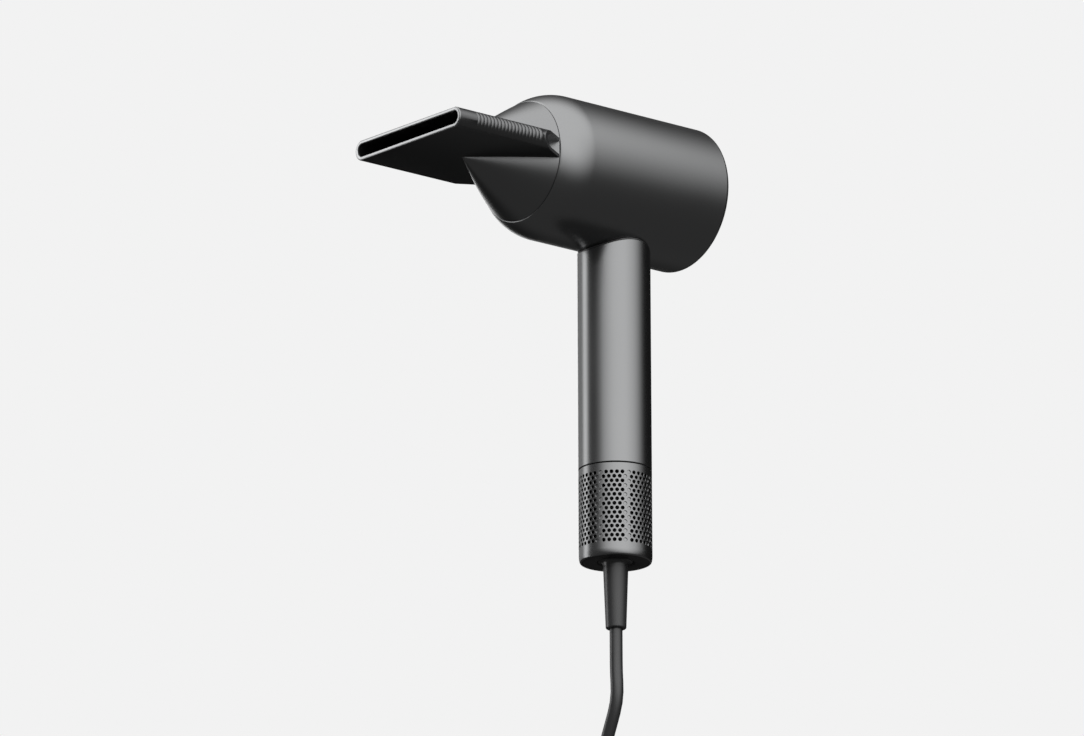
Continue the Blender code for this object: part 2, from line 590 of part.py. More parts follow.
def make_lead():
    relief = [
        (0, -98.7 * MM), (8.6 * MM, -98.7 * MM), (8.6 * MM, -100.1 * MM), (RELIEF_TOP_R, -100.1 * MM),
        (RELIEF_TOP_R, -106 * MM), (RELIEF_END_R, RELIEF_END + 0.8 * MM), (RELIEF_END_R - 0.8 * MM, RELIEF_END),
        (0, RELIEF_END),
    ]
    turned("strain_relief", relief, "rubber", segments=24)

    face_x = -2 * HANK_PITCH
    end = HANK_TOP + 0.5 * MM
    route = [(0, 0, RELIEF_END - GAP), (0, 0, -160 * MM), (0, 0, -178 * MM), (face_x / 2, 0, -196 * MM),
             (face_x, 0, end + 8 * MM), (face_x, 0, end)]
    tube("power_cord", smooth_route(route, 16), CORD_D / 2, "rubber")

    # the hank winds two turns in each of three layers, and a fourth layer holds the run that enters it
    outer_r = HANK_BEND_R + HANK_PITCH + CORD_D / 2
    upper = HANK_TOP - outer_r
    lower = upper - HANK_STRAIGHT
    outline = arc((0, upper), outer_r, 0, 180, 10) + arc((0, lower), outer_r, 180, 360, 10)
    stand = Matrix(((0, 0, 1, 0), (1, 0, 0, 0), (0, 1, 0, 0), (0, 0, 0, 1)))  # outline x to Y, y to Z
    prism("cord_hank", outline, face_x - CORD_D / 2, HANK_PITCH + CORD_D / 2, "rubber", stand)

    middle = (upper + lower) / 2
    centre_x = -0.5 * HANK_PITCH
    bore_x, bore_y = 1.5 * HANK_PITCH + CORD_D / 2 + GAP, outer_r + GAP
    strap = prism("cord_tie", rounded_rectangle(bore_x + 1.3 * MM, bore_y + 1.3 * MM, 5 * MM, 4),
                  middle - 8 * MM, middle + 8 * MM, "strap", Matrix.Translation((centre_x, 0, 0)))
    bore = prism("strap_bore", rounded_rectangle(bore_x, bore_y, 0.6 * MM, 2),
                 middle - 10 * MM, middle + 10 * MM, None, Matrix.Translation((centre_x, 0, 0)))
    boolean(strap, bore)

    tail_y = HANK_BEND_R + HANK_PITCH
    tail_top = lower - 19.6 * MM
    plug_top = tail_top - 24 * MM
    tail = [(HANK_PITCH, tail_y, tail_top), (HANK_PITCH, tail_y, tail_top - 12 * MM),
            (HANK_PITCH, tail_y, plug_top + GAP)]
    tube("cord_tail", smooth_route(tail, 4), CORD_D / 2, "rubber")
    make_plug(Vector((HANK_PITCH, tail_y, plug_top)))


def make_plug(top):
    """A two-pin contour plug that hangs from the end of the lead, pins down."""
    neck = turned("plug_body", [(0, 0), (4.4 * MM, 0), (6.5 * MM, -18 * MM), (8.5 * MM, -24 * MM), (0, -24 * MM)],
                  "rubber", segments=20, centre=top)
    outline = rounded_rectangle(9.0 * MM, 17.5 * MM, 8.5 * MM, 5)
    head = prism("plug_head", outline, -44 * MM, -22 * MM, None, Matrix.Translation(top))
    boolean(neck, head, "UNION")
    for name, side in (("plug_pin_front", -1), ("plug_pin_rear", 1)):
        place = top + Vector((0, side * 9.5 * MM, 0))
        disc(name, 2.4 * MM, -63.3 * MM, -44.3 * MM, "steel", segments=14, centre=place)


def main():
    clear_scene()
    make_barrel()
    make_outlet()
    make_heater()
    make_rear_chamber()
    make_grip()
    make_controls()
    make_motor()
    make_supply_lead()
    make_intake()
    make_nozzle()
    make_lead()


main()
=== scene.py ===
"""The looks of a high-speed hair dryer with its fan motor in the grip.

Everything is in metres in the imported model's frame: +Z up along the grip's axis, the air leaves towards -Y,
and the thumb controls face +Y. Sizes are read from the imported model's nodes.
"""

import json
import math

import bmesh
import bpy
from mathutils import Matrix, Vector


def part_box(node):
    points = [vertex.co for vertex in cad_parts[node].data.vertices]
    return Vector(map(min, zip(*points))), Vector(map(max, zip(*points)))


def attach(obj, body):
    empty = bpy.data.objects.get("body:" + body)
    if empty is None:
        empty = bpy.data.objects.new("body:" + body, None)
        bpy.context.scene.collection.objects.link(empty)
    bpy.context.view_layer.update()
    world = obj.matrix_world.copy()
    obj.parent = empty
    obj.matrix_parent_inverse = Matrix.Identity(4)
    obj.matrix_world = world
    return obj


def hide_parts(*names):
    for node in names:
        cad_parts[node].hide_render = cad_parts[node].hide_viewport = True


MM = 0.001
DEG = math.pi / 180

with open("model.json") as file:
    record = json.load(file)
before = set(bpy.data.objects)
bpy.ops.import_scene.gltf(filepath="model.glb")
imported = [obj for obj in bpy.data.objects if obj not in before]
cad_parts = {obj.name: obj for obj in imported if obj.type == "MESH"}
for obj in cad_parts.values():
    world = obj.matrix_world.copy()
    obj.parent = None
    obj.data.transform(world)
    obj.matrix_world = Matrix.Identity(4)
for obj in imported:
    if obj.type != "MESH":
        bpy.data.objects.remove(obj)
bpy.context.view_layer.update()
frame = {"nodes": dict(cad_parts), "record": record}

BARREL_LOW, BARREL_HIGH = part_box("barrel_shell")
BARREL_R = BARREL_HIGH.x
AXIS_Z = BARREL_HIGH.z - BARREL_R
REAR_Y = BARREL_HIGH.y
FRONT_Y = BARREL_LOW.y
GRIP_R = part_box("grip_tube")[1].x
GRIP_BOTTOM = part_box("grip_tube")[0].z
SLEEVE_BOTTOM, SLEEVE_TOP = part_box("intake_sleeve")[0].z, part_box("intake_sleeve")[1].z
NOZZLE_LOW, NOZZLE_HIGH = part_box("nozzle_shell")
MOUTH_Y, SEAM_Y = NOZZLE_LOW.y, NOZZLE_HIGH.y
SEAM_R = (NOZZLE_HIGH.z - NOZZLE_LOW.z) / 2
BLADE_HALF_WIDTH = NOZZLE_HIGH.x
RELIEF_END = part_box("strain_relief")[0].z
RELIEF_R = 6.5 * MM
RELIEF_END_R = 5.35 * MM

SADDLE_GAP = 1.0 * MM
GRIP_WALL = 1.2 * MM
BLADE_HALF_HEIGHT = 5.3 * MM
TIP_Y = -102.4 * MM
NOZZLE_WALL = 1.8 * MM

CORD_D = 6.7 * MM
HANK_BEND_R = 3 * CORD_D
HANK_PITCH = 7.1 * MM
HANK_STRAIGHT = 56.2 * MM
HANK_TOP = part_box("cord_hank")[1].z

# ---------------------------------------------------------------- camera, light and floor

VIEW_AZIMUTH, VIEW_ELEVATION, VIEW_ROLL = 49.64, -16.04, -0.22  # degrees
VIEW_DISTANCE = 5.0
VIEW_LENS = 321.1
VIEW_OFFSET = (-37.47 * MM, -1.07 * MM)  # where the view's middle is, right of and above the frame's origin
VIEW_CLIP = (0.1, 120)
BACKDROP = 0.888


def heading(turn, elevation):
    """A direction turned from the camera's, positive to its right, and raised, both in degrees."""
    azimuth = (VIEW_AZIMUTH + turn) * DEG
    level = math.cos(elevation * DEG)
    return Vector((math.sin(azimuth) * level, -math.cos(azimuth) * level, math.sin(elevation * DEG)))


def make_camera():
    back = heading(0, VIEW_ELEVATION)
    right = Matrix.Rotation(VIEW_ROLL * DEG, 3, back) @ heading(90, 0)
    up = back.cross(right)
    camera = bpy.data.cameras.new("camera")
    camera.lens = VIEW_LENS
    camera.sensor_width = 36
    camera.clip_start, camera.clip_end = VIEW_CLIP
    obj = bpy.data.objects.new("camera", camera)
    bpy.context.scene.collection.objects.link(obj)
    place = Matrix((right, up, back)).transposed().to_4x4()
    place.translation = back * VIEW_DISTANCE + right * VIEW_OFFSET[0] + up * VIEW_OFFSET[1]
    obj.matrix_world = place
    bpy.context.scene.camera = obj


class Nodes:
    """Short calls for making and linking shader nodes in one tree."""

    def __init__(self, tree):
        self.tree = tree

    def add(self, kind, **settings):
        node = self.tree.nodes.new(kind)
        for name, value in settings.items():
            setattr(node, name, value)
        return node

    def link(self, source, target):
        self.tree.links.new(source, target)

    def feed(self, socket, value):
        """Links value if it is a socket, and sets it otherwise."""
        if isinstance(value, bpy.types.NodeSocket):
            self.link(value, socket)
        else:
            socket.default_value = value

    def math(self, operation, a, b=0.0):
        node = self.add("ShaderNodeMath", operation=operation)
        self.feed(node.inputs[0], a)
        self.feed(node.inputs[1], b)
        return node.outputs[0]

    def dot(self, a, b):
        node = self.add("ShaderNodeVectorMath", operation="DOT_PRODUCT")
        self.feed(node.inputs[0], a)
        self.feed(node.inputs[1], b)
        return node.outputs["Value"]

    def remap(self, value, low, high, to_low, to_high, smooth=False):
        node = self.add("ShaderNodeMapRange", interpolation_type="SMOOTHSTEP" if smooth else "LINEAR")
        settings = {"Value": value, "From Min": low, "From Max": high, "To Min": to_low, "To Max": to_high}
        for name, setting in settings.items():
            self.feed(node.inputs[name], setting)
        return node.outputs["Result"]


# The lamp's heading from the camera and its elevation, how far off its middle its full light ends and all of
# its light ends, all in degrees, and its strength
LAMP = (13, 59, 38, 76, 1.31)
LAMP_STRETCH, LAMP_TILT = 0.80, -55 * DEG  # the lamp is longer along a line turned this far from level
# Each shade's heading and elevation, the cosines where it starts and is full, and the share of light left there
LAMP_SHADES = ((166, 32, 0.63, 0.95, 0.29), (-84, 4, 0.68, 0.92, 0.05), (62, 16, 0.90, 0.99, 0.87))
AMBIENT = 0.072
AMBIENT_SHADES = ((135, 20, 0.5, 0.92, 1 / 6), (-155, -12, 0.8, 0.97, 0.3))
STRIPS = (  # heading from the camera, elevation, half width, half height, softness, strength
    (-106.5, 18, 0.19, 1.10, 0.12, 1.57),
    (-140, 10, 0.30, 0.28, 0.12, 0.30),
    (-171, 11, 0.09, 0.2, 0.06, 1.5),
)
EDGE_ON = 0.02  # the cosine from a strip's heading where the strip is seen no more


def square_axes(centre):
    """The level and the upward direction square to a heading."""
    across = Vector((0, 0, 1)).cross(centre).normalized()
    return across, centre.cross(across)


def shaded(nodes, light, direction, shades):
    """Dims a light towards each shade's heading."""
    for turn, elevation, start, full, left in shades:
        facing = nodes.dot(direction, heading(turn, elevation))
        light = nodes.math("MULTIPLY", light, nodes.remap(facing, start, full, 1, left))
    return light


def lamp_light(nodes, direction):
    """A big soft oval lamp. The angle off its middle is measured shorter along its longer line."""
    turn, elevation, full, end, strength = LAMP
    centre = heading(turn, elevation)
    across, upward = square_axes(centre)
    along = across * math.cos(LAMP_TILT) + upward * math.sin(LAMP_TILT)
    depth = nodes.dot(direction, centre)
    sideways = nodes.math("SUBTRACT", 1.0001, nodes.math("MULTIPLY", depth, depth))  # never zero
    share = nodes.math("DIVIDE", nodes.math("POWER", nodes.dot(direction, along), 2), sideways)
    stretch = nodes.math("SQRT", nodes.math("ADD", 1, nodes.math("MULTIPLY", share, LAMP_STRETCH**2 - 1)))
    off = nodes.math("MULTIPLY", nodes.math("ARCCOSINE", depth), stretch)
    light = nodes.remap(off, full * DEG, end * DEG, strength, 0, smooth=True)
    return shaded(nodes, light, direction, LAMP_SHADES)


def strip_light(nodes, direction, centre, half_width, half_height, softness, strength):
    """A far soft-edged panel, seen from the middle of the scene. Its sizes are tangents of half angles."""
    depth = nodes.dot(direction, centre)
    light = nodes.math("MULTIPLY", nodes.math("GREATER_THAN", depth, EDGE_ON), strength)
    safe = nodes.math("MAXIMUM", depth, EDGE_ON)
    for axis, half in zip(square_axes(centre), (half_width, half_height)):
        offset = nodes.math("ABSOLUTE", nodes.math("DIVIDE", nodes.dot(direction, axis), safe))
        edge = nodes.remap(offset, half - softness, half + softness, 1, 0, smooth=True)
        light = nodes.math("MULTIPLY", light, edge)
    return light


def background(nodes, strength):
    node = nodes.add("ShaderNodeBackground")
    node.inputs["Color"].default_value = (1, 1, 1, 1)
    nodes.feed(node.inputs["Strength"], strength)
    return node.outputs[0]


def make_world():
    """A pale backdrop to the camera, and a big soft lamp and three strips in a dim room to everything else."""
    world = bpy.data.worlds.new("studio")
    world.use_nodes = True
    world.node_tree.nodes.clear()
    nodes = Nodes(world.node_tree)
    direction = nodes.add("ShaderNodeTexCoord").outputs["Generated"]
    room = shaded(nodes, AMBIENT, direction, AMBIENT_SHADES)
    light = nodes.math("ADD", room, lamp_light(nodes, direction))
    for turn, elevation, *shape in STRIPS:
        light = nodes.math("ADD", light, strip_light(nodes, direction, heading(turn, elevation), *shape))
    mix = nodes.add("ShaderNodeMixShader")
    nodes.link(nodes.add("ShaderNodeLightPath").outputs["Is Camera Ray"], mix.inputs[0])
    nodes.link(background(nodes, light), mix.inputs[1])
    nodes.link(background(nodes, BACKDROP), mix.inputs[2])
    nodes.link(mix.outputs[0], nodes.add("ShaderNodeOutputWorld").inputs["Surface"])
    bpy.context.scene.world = world
    bpy.context.scene.view_settings.view_transform = "Standard"


FLOOR_Z = -4.2  # the dryer is seen from below, so the floor is lower than any camera
FLOOR_HALF = 40.0
FLOOR_GLOW = 0.1
FLOOR_GREY = (0.79, 0.81)


def make_floor():
    """A pale floor far below the dryer. The room's light is dim, so the floor glows a little to stay pale."""
    mesh = bpy.data.meshes.new("floor")
    corners = [(x * FLOOR_HALF, y * FLOOR_HALF, FLOOR_Z) for x, y in ((-1, -1), (1, -1), (1, 1), (-1, 1))]
    mesh.from_pydata(corners, [], [(0, 1, 2, 3)])
    floor = bpy.data.objects.new("floor", mesh)
    bpy.context.scene.collection.objects.link(floor)
    made, shader, nodes = principled("pale_floor", (0.8, 0.8, 0.8), 0.0, 0.9, Specular_IOR_Level=0.0)
    shader.inputs["Emission Color"].default_value = (1, 1, 1, 1)
    shader.inputs["Emission Strength"].default_value = FLOOR_GLOW
    nodes.feed(shader.inputs["Base Color"], nodes.remap(noise(nodes, 3, 3), 0, 1, *FLOOR_GREY))
    mesh.materials.append(made)
    floor.visible_glossy = False
    floor.visible_diffuse = False


# ---------------------------------------------------------------- materials


def principled(name, colour, metallic=0.0, roughness=0.5, **sockets):
    made = bpy.data.materials.new(name)
    made.use_nodes = True
    shader = made.node_tree.nodes["Principled BSDF"]
    shader.inputs["Base Color"].default_value = (*colour, 1)
    shader.inputs["Metallic"].default_value = metallic
    shader.inputs["Roughness"].default_value = roughness
    for socket, value in sockets.items():
        shader.inputs[socket.replace("_", " ")].default_value = value
    return made, shader, Nodes(made.node_tree)


def noise(nodes, scale, detail=2.0, stretch=None):
    coords = nodes.add("ShaderNodeTexCoord").outputs["Object"]
    if stretch:
        mapping = nodes.add("ShaderNodeMapping")
        mapping.inputs["Scale"].default_value = stretch
        nodes.link(coords, mapping.inputs["Vector"])
        coords = mapping.outputs["Vector"]
    node = nodes.add("ShaderNodeTexNoise")
    nodes.link(coords, node.inputs["Vector"])
    node.inputs["Scale"].default_value = scale
    node.inputs["Detail"].default_value = detail
    return node.outputs["Fac"]


def bump(nodes, shader, height, distance):
    node = nodes.add("ShaderNodeBump")
    node.inputs["Strength"].default_value = 1.0
    node.inputs["Distance"].default_value = distance
    nodes.feed(node.inputs["Height"], height)
    nodes.link(node.outputs["Normal"], shader.inputs["Normal"])


def vary_roughness(nodes, shader, pattern, low, high):
    nodes.link(nodes.remap(pattern, 0.3, 0.7, low, high), shader.inputs["Roughness"])


def satin_metal(name, value, roughness, edge=1.0):
    """Fine bead-blasted, anodised metal. edge is how much of its glancing reflection it keeps."""
    made, shader, nodes = principled(name, (value, value * 1.01, value * 1.02), 1.0, roughness)
    shader.inputs["Specular Tint"].default_value = (edge, edge, edge, 1)
    vary_roughness(nodes, shader, noise(nodes, 28, 3), roughness - 0.012, roughness + 0.012)
    bump(nodes, shader, noise(nodes, 5200, 2), 0.1e-5)
    return made


def moulded_plastic(name, value, roughness, grain_scale=2600, grain=1.5e-5, gloss=0.5):
    colour = (value, value, value * 1.03)
    made, shader, nodes = principled(name, colour, 0.0, roughness, Specular_IOR_Level=gloss)
    vary_roughness(nodes, shader, noise(nodes, 60, 3), roughness - 0.04, roughness + 0.05)
    bump(nodes, shader, noise(nodes, grain_scale, 2), grain)
    return made


def bright_metal(name, colour, roughness, stretch=(1, 1, 12)):
    """Turned or brushed metal with fine streaks."""
    made, shader, nodes = principled(name, colour, 1.0, roughness)
    streaks = noise(nodes, 900, 3, stretch)
    vary_roughness(nodes, shader, streaks, roughness - 0.06, roughness + 0.08)
    bump(nodes, shader, streaks, 0.8e-5)
    return made


def blend_colours(nodes, shader, factor, dark, light):
    mix = nodes.add("ShaderNodeMix", data_type="RGBA")
    nodes.feed(mix.inputs["Factor"], factor)
    mix.inputs["A"].default_value = (*dark, 1)
    mix.inputs["B"].default_value = (*light, 1)
    nodes.link(mix.outputs["Result"], shader.inputs["Base Color"])


def mottled(name, colour, roughness, darker, scale):
    """A surface whose colour varies gently, such as mica sheet or a coated board."""
    made, shader, nodes = principled(name, colour, 0.0, roughness)
    patches = nodes.remap(noise(nodes, scale, 4), 0.35, 0.65, 0, 1)
    blend_colours(nodes, shader, patches, [c * darker for c in colour], colour)
    bump(nodes, shader, noise(nodes, scale * 8, 2), 2e-5)
    return made


def weave(nodes, scale):
    """The sum of waves along X, Y and Z."""
    coords = nodes.add("ShaderNodeTexCoord").outputs["Object"]
    height = 0.0
    for axis in ("X", "Y", "Z"):
        wave = nodes.add("ShaderNodeTexWave", bands_direction=axis)
        nodes.link(coords, wave.inputs["Vector"])
        wave.inputs["Scale"].default_value = scale
        height = nodes.math("ADD", height, wave.outputs["Fac"])
    return height


def woven_strap(name):
    sheen = {"Sheen_Weight": 0.4, "Sheen_Roughness": 0.5}
    made, shader, nodes = principled(name, (0.022, 0.022, 0.024), 0.0, 0.92, **sheen)
    bump(nodes, shader, weave(nodes, 520), 1.2e-4)
    return made


def wire_mesh_painted_shade(name):
    """Woven stainless filter cloth, its colour darker down in the weave's hollows: painted shade."""
    made, shader, nodes = principled(name, (0.08, 0.08, 0.08), 1.0, 0.5)
    wires = weave(nodes, 900)
    bump(nodes, shader, wires, 0.8e-4)
    # painted shade: the colour goes from near black in the weave's hollows to grey on the wires' tops
    blend_colours(nodes, shader, nodes.remap(wires, 0.8, 2.0, 0, 1), (0.01, 0.01, 0.01), (0.09, 0.09, 0.09))
    return made


def frosted_lens(name):
    made, shader, nodes = principled(name, (0.85, 0.86, 0.85), 0.0, 0.15)
    vary_roughness(nodes, shader, noise(nodes, 400), 0.12, 0.2)
    return made


def make_materials():
    return {
        "shell_metal": satin_metal("shell_metal", 0.3, 0.29),
        "grip_metal": satin_metal("grip_metal", 0.305, 0.26),
        "nozzle_metal": satin_metal("nozzle_metal", 0.28, 0.3),
        "nozzle_dark": satin_metal("nozzle_dark", 0.21, 0.34, edge=0.4),
        # paler than the other metals: a painted highlight on the mouth rim's face and inner edge
        "nozzle_rim_painted_highlight": satin_metal("nozzle_rim_painted_highlight", 0.62, 0.32),
        "nozzle_rim_edge": satin_metal("nozzle_rim_edge", 0.32, 0.34, edge=0.6),
        "black_plastic": moulded_plastic("black_plastic", 0.02, 0.42),
        "cord_rubber": moulded_plastic("cord_rubber", 0.045, 0.27, 1800, 1e-5, gloss=0.8),
        "steel": bright_metal("steel", (0.55, 0.56, 0.57), 0.28),
        "plug_pins": bright_metal("plug_pins", (0.78, 0.77, 0.74), 0.2),
        "copper": bright_metal("copper", (0.72, 0.34, 0.18), 0.35, (1, 1, 40)),
        "mica": mottled("mica", (0.62, 0.58, 0.48), 0.55, 0.75, 220),
        "circuit_board": mottled("circuit_board", (0.02, 0.16, 0.07), 0.4, 0.6, 300),
        "lens": frosted_lens("lens"),
        "strap": woven_strap("strap"),
        "wire_mesh_painted_shade": wire_mesh_painted_shade("wire_mesh_painted_shade"),
    }


# ---------------------------------------------------------------- mesh helpers


def new_piece(name, bm, finish, body=None, angle=32):
    mesh = bpy.data.meshes.new(name)
    bm.to_mesh(mesh)
    bm.free()
    if finish:
        mesh.materials.append(MATERIALS[finish])
    mesh.shade_smooth()
    mesh.set_sharp_from_angle(angle=angle * DEG)
    obj = bpy.data.objects.new(name, mesh)
    bpy.context.scene.collection.objects.link(obj)
    if body:
        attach(obj, body)
    return obj


def resolve(obj, other, operation):
    """Applies a Boolean of obj with other at once, and removes other."""
    modifier = obj.modifiers.new("join", "BOOLEAN")
    modifier.operation = operation
    modifier.object = other
    modifier.solver = "EXACT"
    bpy.context.view_layer.update()
    done = bpy.data.meshes.new_from_object(obj.evaluated_get(bpy.context.evaluated_depsgraph_get()))
    obj.modifiers.remove(modifier)
    old = obj.data
    obj.data = done
    bpy.data.meshes.remove(old)
    bpy.data.objects.remove(other)


SPECK = 2e-6


def tidy_mesh(obj, angle=32):
    """Removes the specks that Booleans leave, and shades the result smooth up to an angle."""
    bm = bmesh.new()
    bm.from_mesh(obj.data)
    bmesh.ops.remove_doubles(bm, verts=bm.verts, dist=SPECK)
    bmesh.ops.dissolve_degenerate(bm, edges=bm.edges, dist=SPECK)
    bm.to_mesh(obj.data)
    bm.free()
    obj.data.shade_smooth()
    obj.data.set_sharp_from_angle(angle=angle * DEG)


def middle_and_half(node):
    """The middle and the half sizes of a node's box."""
    low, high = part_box(node)
    return (low + high) / 2, (high - low) / 2


def arc(centre, radius, start_deg, end_deg, steps):
    angles = [(start_deg + (end_deg - start_deg) * i / steps) * DEG for i in range(steps + 1)]
    return [(centre[0] + radius * math.cos(a), centre[1] + radius * math.sin(a)) for a in angles]


def rounded(outline, radius, steps=3):
    """A closed outline with its corners rounded. radius is one number, or one for each corner."""
    made = []
    count = len(outline)
    for i, corner in enumerate(outline):
        r = radius[i] if isinstance(radius, (list, tuple)) else radius
        here = Vector(corner)
        to_last = Vector(outline[i - 1]) - here
        to_next = Vector(outline[(i + 1) % count]) - here
        turn = to_last.angle(to_next)
        reach = min(r / math.tan(turn / 2), 0.48 * to_last.length, 0.48 * to_next.length)
        if r <= 0 or turn > 179 * DEG:
            made.append(tuple(here))
            continue
        start, end = here + to_last.normalized() * reach, here + to_next.normalized() * reach
        for k in range(steps + 1):
            t = k / steps
            made.append(tuple(start * (1 - t) ** 2 + here * 2 * t * (1 - t) + end * t**2))
    return made


def circle(radius, count):
    angles = [2 * math.pi * i / count for i in range(count)]
    return [(radius * math.cos(a), radius * math.sin(a)) for a in angles]


def level_ring(radius, z, count):
    return [(x, y, z) for x, y in circle(radius, count)]


def bridge(bm, rings, closed=False):
    """Faces between neighbouring rings of vertices. One vertex alone is a ring at the axis."""
    following = rings[1:] + rings[:1] if closed else rings[1:]
    for a, b in zip(rings, following):
        count = max(len(a), len(b))
        if count == 1:
            continue
        for i in range(count):
            j = (i + 1) % count
            corners = [a[i % len(a)], a[j % len(a)], b[j % len(b)], b[i % len(b)]]
            bm.faces.new(list(dict.fromkeys(corners)))


def loft(name, sections, finish, body=None, angle=32, closed=False, place=None):
    """A piece through rings of points. Closed, its last ring meets its first. Open, it has flat ends."""
    bm = bmesh.new()
    rings = [[bm.verts.new(point) for point in section] for section in sections]
    bridge(bm, rings, closed)
    if not closed:
        bm.faces.new(rings[0][::-1])
        bm.faces.new(rings[-1])
    if place:
        bmesh.ops.transform(bm, matrix=place, verts=bm.verts)
    bmesh.ops.recalc_face_normals(bm, faces=bm.faces)
    return new_piece(name, bm, finish, body, angle)


def turned(name, outline, finish, body, segments=96, centre=(0, 0, 0), along_y=False):
    """A piece turned from a closed loop of (radius, height) points, upright or along Y."""
    place = Matrix.Translation(centre)
    if along_y:
        place @= Matrix.Rotation(-90 * DEG, 4, "X")
    sections = [level_ring(r, h, segments) if r > 0 else [(0, 0, h)] for r, h in outline]
    return loft(name, sections, finish, body, closed=True, place=place)


def prism(name, outline, low, high, place=None):
    return loft(name, [[(x, y, z) for x, y in outline] for z in (low, high)], None, place=place)


def stadium(half_x, half_y, radius, steps=8):
    """A rectangle with round corners."""
    corners = [(half_x, half_y), (-half_x, half_y), (-half_x, -half_y), (half_x, -half_y)]
    made = []
    for (x, y), start in zip(corners, (0, 90, 180, 270)):
        centre = (math.copysign(half_x - radius, x), math.copysign(half_y - radius, y))
        made += arc(centre, radius, start, start + 90, steps)
    return made


def smooth_route(points, count):
    """count points along a Catmull-Rom curve through the given points."""
    knots = [Vector(p) for p in points]
    knots = [2 * knots[0] - knots[1], *knots, 2 * knots[-1] - knots[-2]]
    spans = len(knots) - 3
    route = []
    for i in range(count):
        at = spans * i / (count - 1)
        k = min(int(at), spans - 1)
        t = at - k
        p0, p1, p2, p3 = knots[k : k + 4]
        bend = (2 * p0 - 5 * p1 + 4 * p2 - p3) * t**2 + (3 * p1 - p0 - 3 * p2 + p3) * t**3
        route.append(0.5 * (2 * p1 + (p2 - p0) * t + bend))
    return route


def tube(name, route, radius, finish, body):
    curve = bpy.data.curves.new(name, "CURVE")
    curve.dimensions = "3D"
    curve.bevel_depth = radius
    curve.bevel_resolution = 6
    curve.use_fill_caps = True
    spline = curve.splines.new("POLY")
    spline.points.add(len(route) - 1)
    for point, place in zip(spline.points, route):
        point.co = (*place, 1)
    spline.use_smooth = True
    curve.materials.append(MATERIALS[finish])
    obj = bpy.data.objects.new(name, curve)
    bpy.context.scene.collection.objects.link(obj)
    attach(obj, body)
    return obj


# ---------------------------------------------------------------- mains lead


BEND_STEPS = 14
CROSSING_STEPS = 8


def hank_route():
    """Six turns, two in each of three layers, then straight down to the plug."""
    upper = HANK_TOP - HANK_BEND_R - HANK_PITCH - CORD_D / 2
    lower = upper - HANK_STRAIGHT
    inner, outer = HANK_BEND_R, HANK_BEND_R + HANK_PITCH
    slots = [(-1, inner), (-1, outer), (0, outer), (0, inner), (1, inner), (1, outer)]
    slots = [(layer * HANK_PITCH, radius) for layer, radius in slots]
    route = []
    for k, (x, r) in enumerate(slots):
        route += [Vector((x, y, z)) for y, z in arc((0, lower), r, 0, -180, BEND_STEPS)]
        route += [Vector((x, -r, lower + HANK_STRAIGHT * i / 4)) for i in range(1, 4)]
        route += [Vector((x, y, z)) for y, z in arc((0, upper), r, 180, 0, BEND_STEPS)]
        next_x, next_r = slots[min(k + 1, len(slots) - 1)]
        for i in range(1, CROSSING_STEPS):
            t = i / CROSSING_STEPS
            ease = t * t * (3 - 2 * t)
            route.append(Vector((x + (next_x - x) * ease, r + (next_r - r) * ease, upper - HANK_STRAIGHT * t)))
    return route, upper, lower


def make_lead():
    wound, upper, lower = hank_route()
    face_x = -2 * HANK_PITCH
    entry_z = HANK_TOP + 0.5 * MM
    free = [(0, 0, RELIEF_END + 1 * MM), (0, 0, -160 * MM), (0, 0, -178 * MM), (face_x / 2, 0, -196 * MM),
            (face_x, 0, entry_z + 8 * MM), (face_x, 0, entry_z)]
    over = [(face_x, 0, entry_z), (face_x, 2 * MM, entry_z - 14 * MM), (face_x, 9 * MM, upper - 6 * MM),
            (-1.6 * HANK_PITCH, 15.5 * MM, (upper + lower) / 2),
            (-1.1 * HANK_PITCH, HANK_BEND_R - 1 * MM, lower + 10 * MM), tuple(wound[0])]
    plug_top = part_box("plug_body")[1].z
    tail_x, tail_y = HANK_PITCH, HANK_BEND_R + HANK_PITCH
    tail = [Vector((tail_x, tail_y, lower + (plug_top - 1 * MM - lower) * i / 6)) for i in range(7)]
    route = smooth_route(free, 18) + smooth_route(over, 14)[1:] + wound[1:] + tail
    cord = tube("mains_lead", route, CORD_D / 2, "cord_rubber", "dryer")
    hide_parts("power_cord", "cord_hank", "cord_tail")
    plug = make_plug()
    strap = make_strap((upper + lower) / 2)


STRAP_THICKNESS = 1.2 * MM
STRAP_HALF_WIDTH = 7.6 * MM


def make_strap(middle):
    """A closed hook-and-loop band round the hank, its outer edges a little rounded."""
    half_x = 1.5 * HANK_PITCH + CORD_D / 2 + 0.3 * MM
    half_y = HANK_BEND_R + HANK_PITCH + CORD_D / 2 + 0.3 * MM
    inner = stadium(half_x, half_y, 4.2 * MM)
    outer = stadium(half_x + STRAP_THICKNESS, half_y + STRAP_THICKNESS, 5.2 * MM)
    half, side = STRAP_HALF_WIDTH, STRAP_HALF_WIDTH - 0.25 * MM
    sections = []
    for share, z in ((0, -half), (0, half), (0.75, half), (1, side), (1, -side), (0.75, -half)):
        points = [Vector(a).lerp(Vector(b), share) for a, b in zip(inner, outer)]
        sections.append([(p.x - 0.5 * HANK_PITCH, p.y, middle + z) for p in points])
    strap = loft("lead_strap", sections, "strap", "dryer", closed=True)
    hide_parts("cord_tie")
    return strap


def squircle(half_x, half_y, power, count):
    """Points round an oval that gets squarer as power grows from 2."""
    points = []
    for c, s in circle(1, count):
        x, y = math.copysign(abs(c) ** (2 / power), c), math.copysign(abs(s) ** (2 / power), s)
        points.append((half_x * x, half_y * y))
    return points


